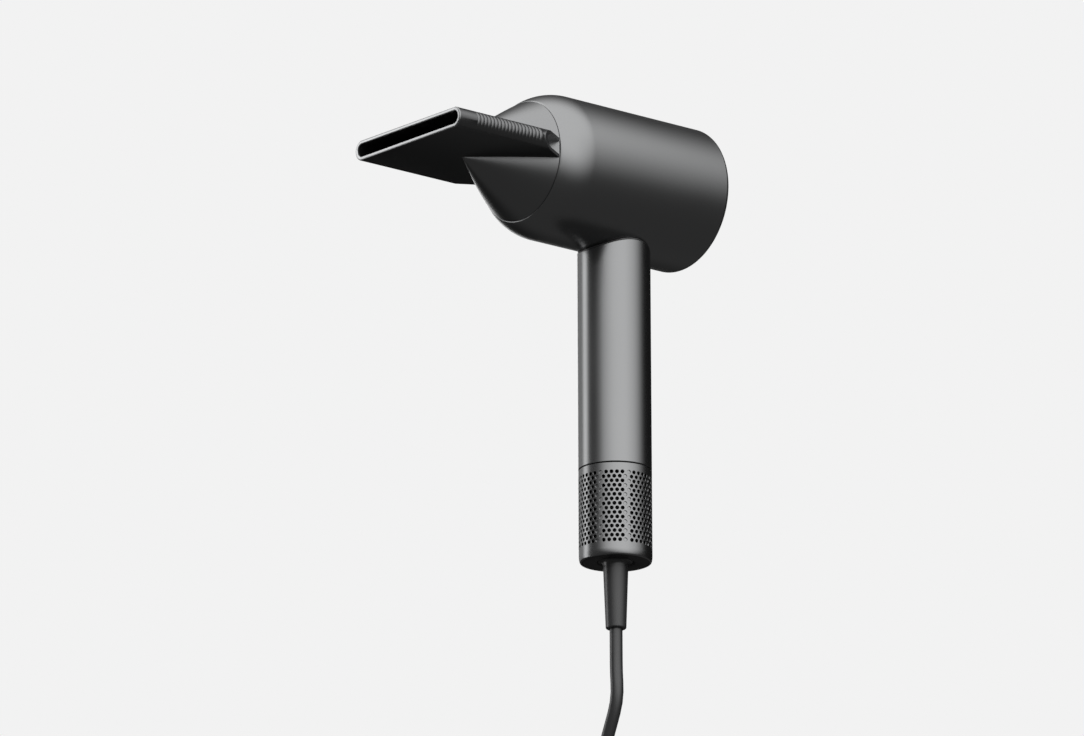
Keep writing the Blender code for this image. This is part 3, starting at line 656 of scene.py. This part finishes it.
def make_plug():
    """A two-pin moulded plug, pins down."""
    centre, half = middle_and_half("plug_body")
    wide, deep = half.y, half.x
    top, bottom = centre.z + half.z, centre.z - half.z
    head_top = bottom + 21.5 * MM
    steps = [  # height, half width along Y, half depth along X
        (top, 4.3 * MM, 4.3 * MM), (top - 0.6 * MM, 4.9 * MM, 4.9 * MM), (top - 12 * MM, 5.8 * MM, 5.5 * MM),
        (head_top + 3 * MM, 7.4 * MM, 6.4 * MM), (head_top, 10.5 * MM, 7.4 * MM),
        (head_top - 3 * MM, wide - 1.6 * MM, deep - 0.9 * MM),
        (head_top - 6 * MM, wide - 0.2 * MM, deep - 0.1 * MM),
        (bottom + 8 * MM, wide, deep), (bottom + 1.2 * MM, wide, deep),
        (bottom + 0.3 * MM, wide - 0.3 * MM, deep - 0.3 * MM), (bottom, wide - 1.1 * MM, deep - 1.1 * MM),
    ]
    sections = []
    for z, half_y, half_x in steps:
        squareness = min(1, max(0, (top - 20 * MM - z) / (6 * MM)))  # none at the neck, all at the head
        ring = squircle(half_x, half_y, 2.0 + 0.9 * squareness, 72)
        sections.append([(centre.x + x, centre.y + y, z) for x, y in ring])
    body = loft("mains_plug", sections, "cord_rubber", "dryer", 40)
    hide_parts("plug_body")
    made = [body]
    for k in range(4):
        z = top - (3 + 3.2 * k) * MM
        r = (5.1 + 0.25 * k) * MM
        inner, outer = r - 1 * MM, r + 0.55 * MM
        rib = [(inner, z - 0.8 * MM), (outer, z - 0.6 * MM), (outer, z + 0.6 * MM), (inner, z + 0.8 * MM)]
        place = (centre.x, centre.y, 0)
        made.append(turned(f"plug_neck_rib_{k}", rounded(rib, 0.4 * MM), "cord_rubber", "dryer", 40, place))
    for node in ("plug_pin_front", "plug_pin_rear"):
        middle, half = middle_and_half(node)
        foot, root = middle.z - half.z, middle.z + half.z + 0.5 * MM
        tip_r = 1.2 * MM
        tip = arc((half.x - tip_r, foot + tip_r), tip_r, 270, 360, 6)
        outline = [(0, foot), *tip, (half.x, root), (0, root)]
        pin = turned(f"{node}_metal", outline, "plug_pins", "dryer", 32, (middle.x, middle.y, 0))
        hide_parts(node)
        made.append(pin)
    return made


FLARE_R, FLARE_HEIGHT = 8.6 * MM, 3.0 * MM
FLARE_STEPS = 8
FLANGE_HEIGHT = 1.4 * MM


def make_relief():
    """The tapered strain relief at the foot of the grip."""
    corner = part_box("strain_relief")[1]
    flange_r, top = corner.x, corner.z
    flare_z = SLEEVE_BOTTOM + 0.5 * MM
    outline = [(0, top), (flange_r, top), (flange_r, top - FLANGE_HEIGHT), (RELIEF_R, top - FLANGE_HEIGHT),
               (RELIEF_R, flare_z + 0.8 * MM), (FLARE_R, flare_z + 0.5 * MM), (FLARE_R, flare_z)]
    for i in range(1, FLARE_STEPS + 1):
        along = i / FLARE_STEPS * 90 * DEG
        radius = RELIEF_R + (FLARE_R - RELIEF_R) * (1 - math.sin(along))
        outline.append((radius, flare_z - FLARE_HEIGHT * (1 - math.cos(along))))
    outline += arc((RELIEF_END_R - 0.9 * MM, RELIEF_END + 0.9 * MM), 0.9 * MM, 0, -90, 6)
    cord_r, cord_z = CORD_D / 2, RELIEF_END + 2.5 * MM
    outline += [(cord_r + 0.15 * MM, RELIEF_END), (cord_r + 0.05 * MM, cord_z), (0, cord_z)]
    relief = turned("strain_relief_sleeve", outline, "cord_rubber", "dryer", 64)
    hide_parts("strain_relief")


# ---------------------------------------------------------------- barrel and grip

BARREL_CENTRE = (0, 0, AXIS_Z)
BARREL_WALL = 1.8 * MM
SHOULDER_R = 30 * MM
SHOULDER_Y = -44.5 * MM


def shoulder(inset, front):
    """The narrowing front as (radius, y) points, from the cylinder to the plane y = front."""
    radius = SHOULDER_R - inset
    end = -math.degrees(math.asin((SHOULDER_Y - front) / radius))
    return arc((BARREL_R - SHOULDER_R, SHOULDER_Y), radius, 0, end, 18)


def make_barrel():
    edge_r = 2.5 * MM
    opening = BARREL_R - 4 * MM
    face = REAR_Y
    outside = arc((BARREL_R - edge_r, face - edge_r), edge_r, 90, 0, 10)
    front = shoulder(0, FRONT_Y + 0.06 * MM)
    lip = (front[-1][0] - 0.1 * MM, FRONT_Y)
    inside = shoulder(BARREL_WALL, FRONT_Y)[::-1]
    inside += [(BARREL_R - BARREL_WALL, face - 1.8 * MM), (opening, face - 1.8 * MM),
               (opening, face - 0.2 * MM), (opening + 0.2 * MM, face)]
    outline = outside + front + [lip] + inside
    barrel = turned("barrel_skin", outline, "shell_metal", "dryer", 192, BARREL_CENTRE, along_y=True)
    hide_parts("barrel_shell")

    rim = opening / MM - 0.3  # the cover's outline is in millimetres, with 0 at the barrel's rear face
    cover = [(0, -2.2), (rim - 1.6, -2.2), (rim - 1.6, -7), (rim, -7), (rim, -0.3), (rim - 0.3, 0)]
    cover += [(28.6, 0), (28.3, -0.15), (28.1, -0.7), (27.5, -0.7), (27.3, -0.15), (27.0, 0)]  # a groove
    cover += [(20.8, 0), (20.5, -0.08), (19.6, -0.75), (19.2, -0.8), (12, -1.05), (0, -1.2)]  # a shallow dish
    cover = [(r * MM, face + y * MM) for r, y in cover]
    disc = turned("rear_disc", cover, "shell_metal", "dryer", 160, BARREL_CENTRE, along_y=True)
    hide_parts("rear_cover")


GRIP_SEGMENTS = 160
GRIP_EDGE = 0.25 * MM


def saddle_ring(radius, gap, lift=0.0):
    """An upright wall's ring where it meets a cylinder round the barrel with that gap, then lifted."""
    r = BARREL_R + gap
    return [(x, y, AXIS_Z - math.sqrt(r * r - x * x) + lift) for x, y in circle(radius, GRIP_SEGMENTS)]


def rear_cutter(outline, z, near=12 * MM):
    """A cutter through the grip's rear wall, from an outline drawn in X and Z round the height z."""
    upright = Matrix.Translation((0, 0, z)) @ Matrix.Rotation(90 * DEG, 4, "X")
    return prism("cutter", outline, -26 * MM, -near, upright)


def make_grip():
    inner = GRIP_R - GRIP_WALL
    sections = [
        level_ring(inner, GRIP_BOTTOM, GRIP_SEGMENTS),
        level_ring(GRIP_R - GRIP_EDGE, GRIP_BOTTOM, GRIP_SEGMENTS),
        level_ring(GRIP_R, GRIP_BOTTOM + GRIP_EDGE, GRIP_SEGMENTS),
        saddle_ring(GRIP_R, SADDLE_GAP, -GRIP_EDGE),
        saddle_ring(GRIP_R - GRIP_EDGE, SADDLE_GAP),
        saddle_ring(inner, SADDLE_GAP),
    ]
    grip = loft("grip_skin", sections, "grip_metal", closed=True)
    middle, half = middle_and_half("control_panel")
    window = stadium(half.x + 0.25 * MM, half.z + 0.25 * MM, 3.2 * MM)
    resolve(grip, rear_cutter(window, middle.z), "DIFFERENCE")
    tidy_mesh(grip)
    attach(grip, "dryer")
    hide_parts("grip_tube")

    outline = ((17.9, 0.8), (18.65, 0.8), (18.75, 0.5), (18.65, 0.15), (17.9, 0.15))  # radius and gap
    sections = [saddle_ring(r * MM, gap * MM) for r, gap in outline]
    gasket = loft("saddle_seal", sections, "cord_rubber", "dryer", closed=True)
    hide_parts("saddle_gasket")


# ---------------------------------------------------------------- controls


def make_panel():
    """The plate round the controls, with the slider's slot, the lamp's window and the buttons' holes."""
    middle, half = middle_and_half("control_panel")
    low, high = middle.z - half.z - 3 * MM, middle.z + half.z + 3 * MM
    outline = rounded([(15.9 * MM, low), (GRIP_R, low), (GRIP_R, high), (15.9 * MM, high)], 0.1 * MM)
    panel = turned("control_plate", outline, "black_plastic", None, 200)
    resolve(panel, rear_cutter(stadium(half.x, half.z, 3 * MM), middle.z), "INTERSECT")
    slot_z = middle_and_half("power_slider")[0].z + 3 * MM
    resolve(panel, rear_cutter(stadium(2.5 * MM, 6.8 * MM, 2.45 * MM), slot_z), "DIFFERENCE")
    lamp_z = middle_and_half("indicator_lens")[0].z
    resolve(panel, rear_cutter(stadium(2.6 * MM, 0.9 * MM, 0.85 * MM), lamp_z), "DIFFERENCE")
    for name in ("temperature_button", "cool_shot_button"):
        button, size = middle_and_half(name)
        resolve(panel, rear_cutter(circle(size.x + 0.3 * MM, 64), button.z), "DIFFERENCE")
    tidy_mesh(panel)
    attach(panel, "dryer")
    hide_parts("control_panel")


def make_button(node, body):
    """A round button with a shallow dish."""
    middle, half = middle_and_half(node)
    r, bottom, top = half.x, middle.y - half.y, middle.y + half.y
    edge_r = 0.5 * MM
    outline = [(0, bottom), (r, bottom), (r, top - 0.55 * MM)]
    outline += arc((r - edge_r, top - edge_r), edge_r, 0, 90, 6)
    outline += [(r - 1.0 * MM, top - 0.05 * MM), (r * 0.45, top - 0.28 * MM), (0, top - 0.34 * MM)]
    cap = turned(f"{node}_cap", outline, "grip_metal", body, 64, (0, 0, middle.z), along_y=True)
    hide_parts(node)


def make_slider():
    """The power slider, with four grooves across it."""
    middle, half = middle_and_half("power_slider")
    bottom, top = middle.y - half.y, middle.y + half.y
    sections = []
    for y, inset in ((bottom, 0), (top - 0.5 * MM, 0), (top - 0.15 * MM, 0.15 * MM), (top, 0.5 * MM)):
        ring = stadium(half.x - inset, half.z - inset, 2.0 * MM - inset)
        sections.append([(x, y, middle.z + z) for x, z in ring])
    knob = loft("power_knob", sections, "grip_metal")
    for k in range(4):
        groove_z = middle.z + (k - 1.5) * 1.1 * MM
        groove = rear_cutter(stadium(3 * MM, 0.2 * MM, 0.15 * MM, 2), groove_z, top - 0.3 * MM)
        resolve(knob, groove, "DIFFERENCE")
    tidy_mesh(knob)
    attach(knob, "power_switch")
    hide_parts("power_slider")


def make_controls():
    make_panel()
    make_button("temperature_button", "temperature_key")
    make_button("cool_shot_button", "cool_shot_key")
    make_slider()


# ---------------------------------------------------------------- air intake

SLEEVE_PANELS, PANEL_COLUMNS = 8, 21  # a hole's cell is 4 columns, and a panel's last column is plain
SLEEVE_COLUMNS = SLEEVE_PANELS * PANEL_COLUMNS
HOLES_IN_ROW = 5
HOLE_ROWS = 16
HOLE_R, HOLE_CHAMFER = 0.96 * MM, 0.1 * MM
DIMPLE_DEPTH = 0.5 * MM  # the holes next to a rib inside are blind
ROW_PITCH = 2.407 * MM
TOP_ROW_Z = -61.7 * MM
SLEEVE_EDGE = 0.25 * MM
SLEEVE_TURN = 0.7 * DEG


def cell_border(column):
    """The 16 grid points round a hole's cell, which is 4 columns and 4 steps tall, from its top left."""
    top = [(column + i, 4) for i in range(4)]
    right = [(column + 4, 4 - i) for i in range(4)]
    bottom = [(column + 4 - i, 0) for i in range(4)]
    return top + right + bottom + [(column, i) for i in range(4)]


def hole_ring(bm, angle, middle, radius, depth):
    """16 vertices round a hole in the sleeve, sunk below its outside, and matched to the cell's border."""
    ring = []
    for i in range(16):
        turn = (135 - 22.5 * i) * DEG
        at = angle + radius * math.cos(turn) / GRIP_R
        out = GRIP_R - depth
        ring.append(bm.verts.new((out * math.cos(at), out * math.sin(at), middle + radius * math.sin(turn))))
    return ring


def foot_outline():
    """The sleeve's foot, from its outer side down: a long shallow curve inwards that ends in a small round."""
    shallow, long, stop, round_r = 0.9 * MM, 3.7 * MM, 56 * DEG, 0.75 * MM
    tilt = math.atan2(shallow * math.sin(stop), long * math.cos(stop))
    round_top = SLEEVE_BOTTOM + round_r * (1 - math.sin(tilt))
    outline = []
    for i in range(10):
        along = stop * i / 9
        radius = GRIP_R - shallow * (1 - math.cos(along))
        outline.append((radius, round_top + long * (math.sin(stop) - math.sin(along))))
    centre = (outline[-1][0] - round_r * math.cos(tilt), SLEEVE_BOTTOM + round_r)
    for i in range(1, 9):
        angle = tilt + (90 * DEG - tilt) * i / 8
        outline.append((centre[0] + round_r * math.cos(angle), centre[1] - round_r * math.sin(angle)))
    return outline


def make_sleeve():
    """The perforated sleeve: an outer skin of cells with holes, an inner skin, and turned ends."""
    bm = bmesh.new()
    step = 2 * math.pi / SLEEVE_COLUMNS
    inner = GRIP_R - GRIP_WALL
    found = {}

    def vertex(column, z, radius):
        """The grid's vertex at a column and a height, on the outer or the inner skin."""
        column %= SLEEVE_COLUMNS
        key = (column, round(z * 1e7), radius)
        if key not in found:
            found[key] = bm.verts.new((radius * math.cos(column * step), radius * math.sin(column * step), z))
        return found[key]

    def round_ring(radius, z):
        return [vertex(column, z, radius) for column in range(SLEEVE_COLUMNS)]

    rows = [TOP_ROW_Z + ROW_PITCH / 2 - ROW_PITCH * i for i in range(HOLE_ROWS + 1)]
    for row, (top, bottom) in enumerate(zip(rows, rows[1:])):
        heights = [bottom + (top - bottom) * k / 4 for k in range(5)]
        middle = (top + bottom) / 2
        for panel in range(SLEEVE_PANELS):
            start = panel * PANEL_COLUMNS - 10 + (1 if row % 2 else -1)
            for hole in range(HOLES_IN_ROW):
                column = start + 4 * hole
                angle = (column + 2) * step
                blind = hole == (HOLES_IN_ROW - 1 if row % 2 else 0)
                depth = DIMPLE_DEPTH if blind else GRIP_WALL - 0.05 * MM
                outside = [vertex(c, heights[k], GRIP_R) for c, k in cell_border(column)]
                inside = [vertex(c, heights[k], inner) for c, k in cell_border(column)]
                bore = ((HOLE_R + HOLE_CHAMFER, 0), (HOLE_R, HOLE_CHAMFER), (HOLE_R, depth))
                rings = [outside, *[hole_ring(bm, angle, middle, r, sunk) for r, sunk in bore]]
                if blind:
                    bm.faces.new(rings[-1])
                    bm.faces.new(inside[::-1])
                else:
                    rings.append(inside)
                bridge(bm, rings)
            column = start + 4 * HOLES_IN_ROW
            for low, high in zip(heights, heights[1:]):
                corners = ((column, low), (column + 1, low), (column + 1, high), (column, high))
                bm.faces.new([vertex(c, z, GRIP_R) for c, z in corners])
                bm.faces.new([vertex(c, z, inner) for c, z in reversed(corners)])

    top_outline = [(GRIP_R, rows[0]), (GRIP_R, SLEEVE_TOP - SLEEVE_EDGE), (GRIP_R - SLEEVE_EDGE, SLEEVE_TOP),
                   (inner, SLEEVE_TOP), (inner, rows[0])]
    foot = foot_outline()
    lip = foot[-1][0] - 0.45 * MM
    foot_inside = [(lip + 0.15 * MM, SLEEVE_BOTTOM), (lip, SLEEVE_BOTTOM + 0.15 * MM),
                   (lip, SLEEVE_BOTTOM + 2.2 * MM), (inner, SLEEVE_BOTTOM + 2.4 * MM)]
    low_outline = [(GRIP_R, rows[-1]), *foot, *foot_inside, (inner, rows[-1])]
    for outline in (top_outline, low_outline):
        bridge(bm, [round_ring(r, z) for r, z in outline])
    bmesh.ops.recalc_face_normals(bm, faces=bm.faces)
    bmesh.ops.rotate(bm, verts=bm.verts, cent=(0, 0, 0), matrix=Matrix.Rotation(SLEEVE_TURN, 3, "Z"))
    sleeve = new_piece("perforated_sleeve", bm, "grip_metal", "intake_cover", 40)
    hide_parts("intake_sleeve")
    make_sleeve_base(lip - 0.12 * MM)


def make_sleeve_base(rim):
    """The dark disc in the sleeve's foot, round the strain relief."""
    low, high = [corner.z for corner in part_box("intake_base")]
    bore = 9.5 * MM
    outline = [(rim, high), (rim, low + 0.35 * MM), (rim - 0.35 * MM, low + 0.1 * MM), (rim - 1.2 * MM, low)]
    outline += [(bore + 1.0 * MM, low), (bore + 0.45 * MM, low + 0.15 * MM), (bore, low + 0.6 * MM), (bore, high)]
    base = turned("intake_base_disc", outline, "black_plastic", "intake_cover", 96)
    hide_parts("intake_base")


# ---------------------------------------------------------------- nozzle

RIB_PITCH = 2.3 * MM
RIB_COUNT = 19
RIB_START_Y = MOUTH_Y + 12.2 * MM
RIB_DEPTH = 0.27 * MM
RIB_ANGLES = (-38 * DEG, 70 * DEG)
RIM_DEPTH = 0.7 * MM
SIDE_CREASE = 1.04  # the blade's side is an arc of this many half heights, which leaves a slight crease
CORNER_CUT_Y = -82.0 * MM
POCKET_FRONT_Y = -93.5 * MM
CONE_BULGE = 0.9 * MM
CONE_SEGMENTS = 160
CONE_SHARES = (0, 0.08, 0.16, 0.25, 0.35, 0.45, 0.55, 0.65, 0.75, 0.85, 0.93, 0.98)
TIP_SHARPNESS = 40  # how soon the rings' points gather at the tip edge's two ends


def cone_hull(name, base_r, base_y, tip_y, tip_height, bulge=0.0):
    """Half-cones from a circle to the ends of an upright edge, their sides bowed outwards by bulge."""
    bm = bmesh.new()
    rings = []
    for share in CONE_SHARES:
        ring = []
        for c, s in circle(1, CONE_SEGMENTS):
            tip = Vector((0, tip_y, tip_height * max(-1, min(1, s * TIP_SHARPNESS))))
            p = Vector((base_r * c, base_y, base_r * s)).lerp(tip, share)
            p += Vector((c, 0, s)) * bulge * 4 * share * (1 - share)
            ring.append(bm.verts.new((p.x, p.y, AXIS_Z + p.z)))
        rings.append(ring)
    bridge(bm, rings)
    top = bm.verts.new((0, tip_y, AXIS_Z + tip_height))
    bottom = bm.verts.new((0, tip_y, AXIS_Z - tip_height))
    last = rings[-1]
    half = CONE_SEGMENTS // 2
    for i in range(CONE_SEGMENTS):
        bm.faces.new((last[i], last[(i + 1) % CONE_SEGMENTS], top if i < half else bottom))
    bm.faces.new((last[0], top, bottom))
    bm.faces.new((last[half], bottom, top))
    bm.faces.new(rings[0][::-1])
    bmesh.ops.recalc_face_normals(bm, faces=bm.faces)
    return new_piece(name, bm, None)


def racetrack(half_width, half_height, steps):
    """A flat section with round sides, and each point's angle round its side."""
    radius = half_height * SIDE_CREASE
    reach = math.asin(half_height / radius)
    section = []
    for side, start in ((1, -reach), (-1, math.pi - reach)):
        for i in range(steps + 1):
            a = start + 2 * reach * i / steps
            x = side * (half_width - radius) + radius * math.cos(a)
            section.append((x, radius * math.sin(a), a if side > 0 else math.pi - a))
    return section


def rib_depth(y, angle):
    """How far a point on the blade's round side is sunk: rounded ribs on the side's upper two thirds."""
    low, high = RIB_ANGLES
    if not (RIB_START_Y <= y <= RIB_START_Y + RIB_COUNT * RIB_PITCH and low < angle < high):
        return 0.0
    valley = 1 - abs(math.sin(math.pi * (y - RIB_START_Y) / RIB_PITCH)) ** 0.6
    across = math.sin(math.pi * (angle - low) / (high - low)) ** 0.5
    return RIB_DEPTH * valley * across


def blade_block(name, half_width, half_height, front, rear, ribs=False):
    """The flat blade as a loft along Y."""
    stations = [front, rear]
    if ribs:
        made = [RIB_START_Y + RIB_PITCH * i / 8 for i in range(8 * RIB_COUNT + 1)]
        stations = [front, RIB_START_Y - 0.4 * MM, *made, rear]
    sections = []
    for y in stations:
        ring = []
        for x, z, angle in racetrack(half_width, half_height, 24 if ribs else 16):
            sink = rib_depth(y, angle) if ribs else 0.0
            x -= math.copysign(math.cos(angle), x) * sink
            ring.append((x, y, AXIS_Z + z - math.sin(angle) * sink))
        sections.append(ring)
    return loft(name, sections, None)


def make_mouth_rim():
    """The ring round the mouth: a rounded outer edge, a flat face and a broken inner edge."""
    edge_r = 0.6 * MM
    across = [(0.0, RIM_DEPTH), *[(edge_r - x, edge_r - y) for x, y in arc((0, 0), edge_r, 0, 90, 5)]]
    edge_bands = len(across) - 1
    inner = NOZZLE_WALL - 0.05 * MM
    across += [(inner - 0.2 * MM, 0), (inner, 0.2 * MM), (inner, RIM_DEPTH)]
    sections = []
    for inset, y in across:
        track = racetrack(BLADE_HALF_WIDTH - inset, BLADE_HALF_HEIGHT - inset, 24)
        sections.append([(x, MOUTH_Y + y, AXIS_Z + z) for x, z, _ in track])
    # the face and the inner edge are a paler metal than the rest of the nozzle: a painted highlight
    rim = loft("mouth_rim", sections, "nozzle_rim_painted_highlight", "nozzle", closed=True)
    rim.data.materials.append(MATERIALS["nozzle_rim_edge"])
    for face in rim.data.polygons[: edge_bands * len(sections[0])]:
        face.material_index = 1


def plan_block(outline):
    """A block far taller than the nozzle, from an outline seen from above."""
    return prism("plan", outline, AXIS_Z - 22 * MM, AXIS_Z + 22 * MM)


def mirrored(points):
    """A plan outline from its right half, listed front to back."""
    return points + [(-x, y) for x, y in reversed(points)]


FAR = 60 * MM
INNER_HALF_WIDTH, INNER_HALF_HEIGHT = BLADE_HALF_WIDTH - NOZZLE_WALL, BLADE_HALF_HEIGHT - NOZZLE_WALL
CORNER_X = math.sqrt(SEAM_R**2 - BLADE_HALF_HEIGHT**2) - 0.05 * MM  # where the cone meets the blade at the seam
THROAT_HALF_WIDTH = 24 * MM
DUCT_NARROWS_Y = -97 * MM


def make_nozzle():
    shell = cone_hull("nozzle_skin", SEAM_R, SEAM_Y, TIP_Y, BLADE_HALF_HEIGHT, CONE_BULGE)
    block = (BLADE_HALF_WIDTH, BLADE_HALF_HEIGHT, MOUTH_Y + RIM_DEPTH, SEAM_Y + 5 * MM)
    blade = blade_block("blade", *block, ribs=True)
    plan = mirrored([(FAR, MOUTH_Y - FAR), (FAR, CORNER_CUT_Y - 29 * MM), (BLADE_HALF_WIDTH, CORNER_CUT_Y),
                     (CORNER_X, SEAM_Y - 0.02 * MM)])
    resolve(blade, plan_block(rounded(plan, [0, 0, 9 * MM, 0, 0, 9 * MM, 0, 0], 8)), "INTERSECT")
    resolve(shell, blade, "UNION")
    make_mouth_rim()
    hollow = (SEAM_R - 1.6 * MM, SEAM_Y + 0.5 * MM, TIP_Y + 3.2 * MM, INNER_HALF_HEIGHT - 0.1 * MM)
    resolve(shell, cone_hull("hollow", *hollow), "DIFFERENCE")

    duct = blade_block("duct", INNER_HALF_WIDTH, INNER_HALF_HEIGHT, MOUTH_Y - 5 * MM, SEAM_Y)
    plan = mirrored([(FAR, MOUTH_Y - FAR), (FAR, DUCT_NARROWS_Y), (INNER_HALF_WIDTH, DUCT_NARROWS_Y),
                     (THROAT_HALF_WIDTH, -71.2 * MM), (THROAT_HALF_WIDTH + 2.2 * MM, -68.4 * MM)])
    sizes = [0, 0, 6 * MM, 3 * MM, 0, 0, 3 * MM, 6 * MM, 0, 0]
    resolve(duct, plan_block(rounded(plan, sizes, 6)), "INTERSECT")
    resolve(shell, duct, "DIFFERENCE")

    for side in (1, -1):
        pocket = blade_block("pocket", INNER_HALF_WIDTH, INNER_HALF_HEIGHT, -110 * MM, SEAM_Y + 8 * MM)
        plan = [(CORNER_X, SEAM_Y), (25.8 * MM, -70.2 * MM), (INNER_HALF_WIDTH, POCKET_FRONT_Y),
                (FAR, POCKET_FRONT_Y), (FAR, SEAM_Y)]
        plan = rounded([(side * x, y) for x, y in plan], [0, 3 * MM, 2 * MM, 0, 0], 6)
        resolve(pocket, plan_block(plan), "INTERSECT")
        resolve(shell, pocket, "DIFFERENCE")

    tidy_mesh(shell, 28)
    shell.data.materials.append(MATERIALS["nozzle_metal"])
    shell.data.materials.append(MATERIALS["nozzle_dark"])
    for face in shell.data.polygons:
        face.material_index = int(on_blade([shell.data.vertices[i].co for i in face.vertices]))
    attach(shell, "nozzle")
    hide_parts("nozzle_shell")


def on_blade(corners):
    """Whether a face of the nozzle, given by its corners, is on the blade and not in a pocket."""
    height = max(abs(c.z - AXIS_Z) for c in corners)
    in_pocket = (
        height < INNER_HALF_HEIGHT + 0.02 * MM
        and min(c.y for c in corners) > POCKET_FRONT_Y - 0.1 * MM
        and max(abs(c.x) for c in corners) < INNER_HALF_WIDTH + 0.1 * MM
    )
    return height < BLADE_HALF_HEIGHT + 0.02 * MM and not in_pocket


# ---------------------------------------------------------------- everything else


def finish_cad_nodes():
    """Every CAD node that still shows gets its slot's material."""
    for entry in frame["record"]["subparts"]:
        node = frame["nodes"][entry["node"]]
        slot = "wire_mesh_painted_shade" if entry["node"] == "filter_mesh" else entry["material_slot"]
        node.data.materials.clear()
        node.data.materials.append(MATERIALS[slot])


MATERIALS = make_materials()
make_camera()
make_world()
make_floor()
make_lead()
make_relief()
make_barrel()
make_grip()
make_controls()
make_sleeve()
make_nozzle()
finish_cad_nodes()
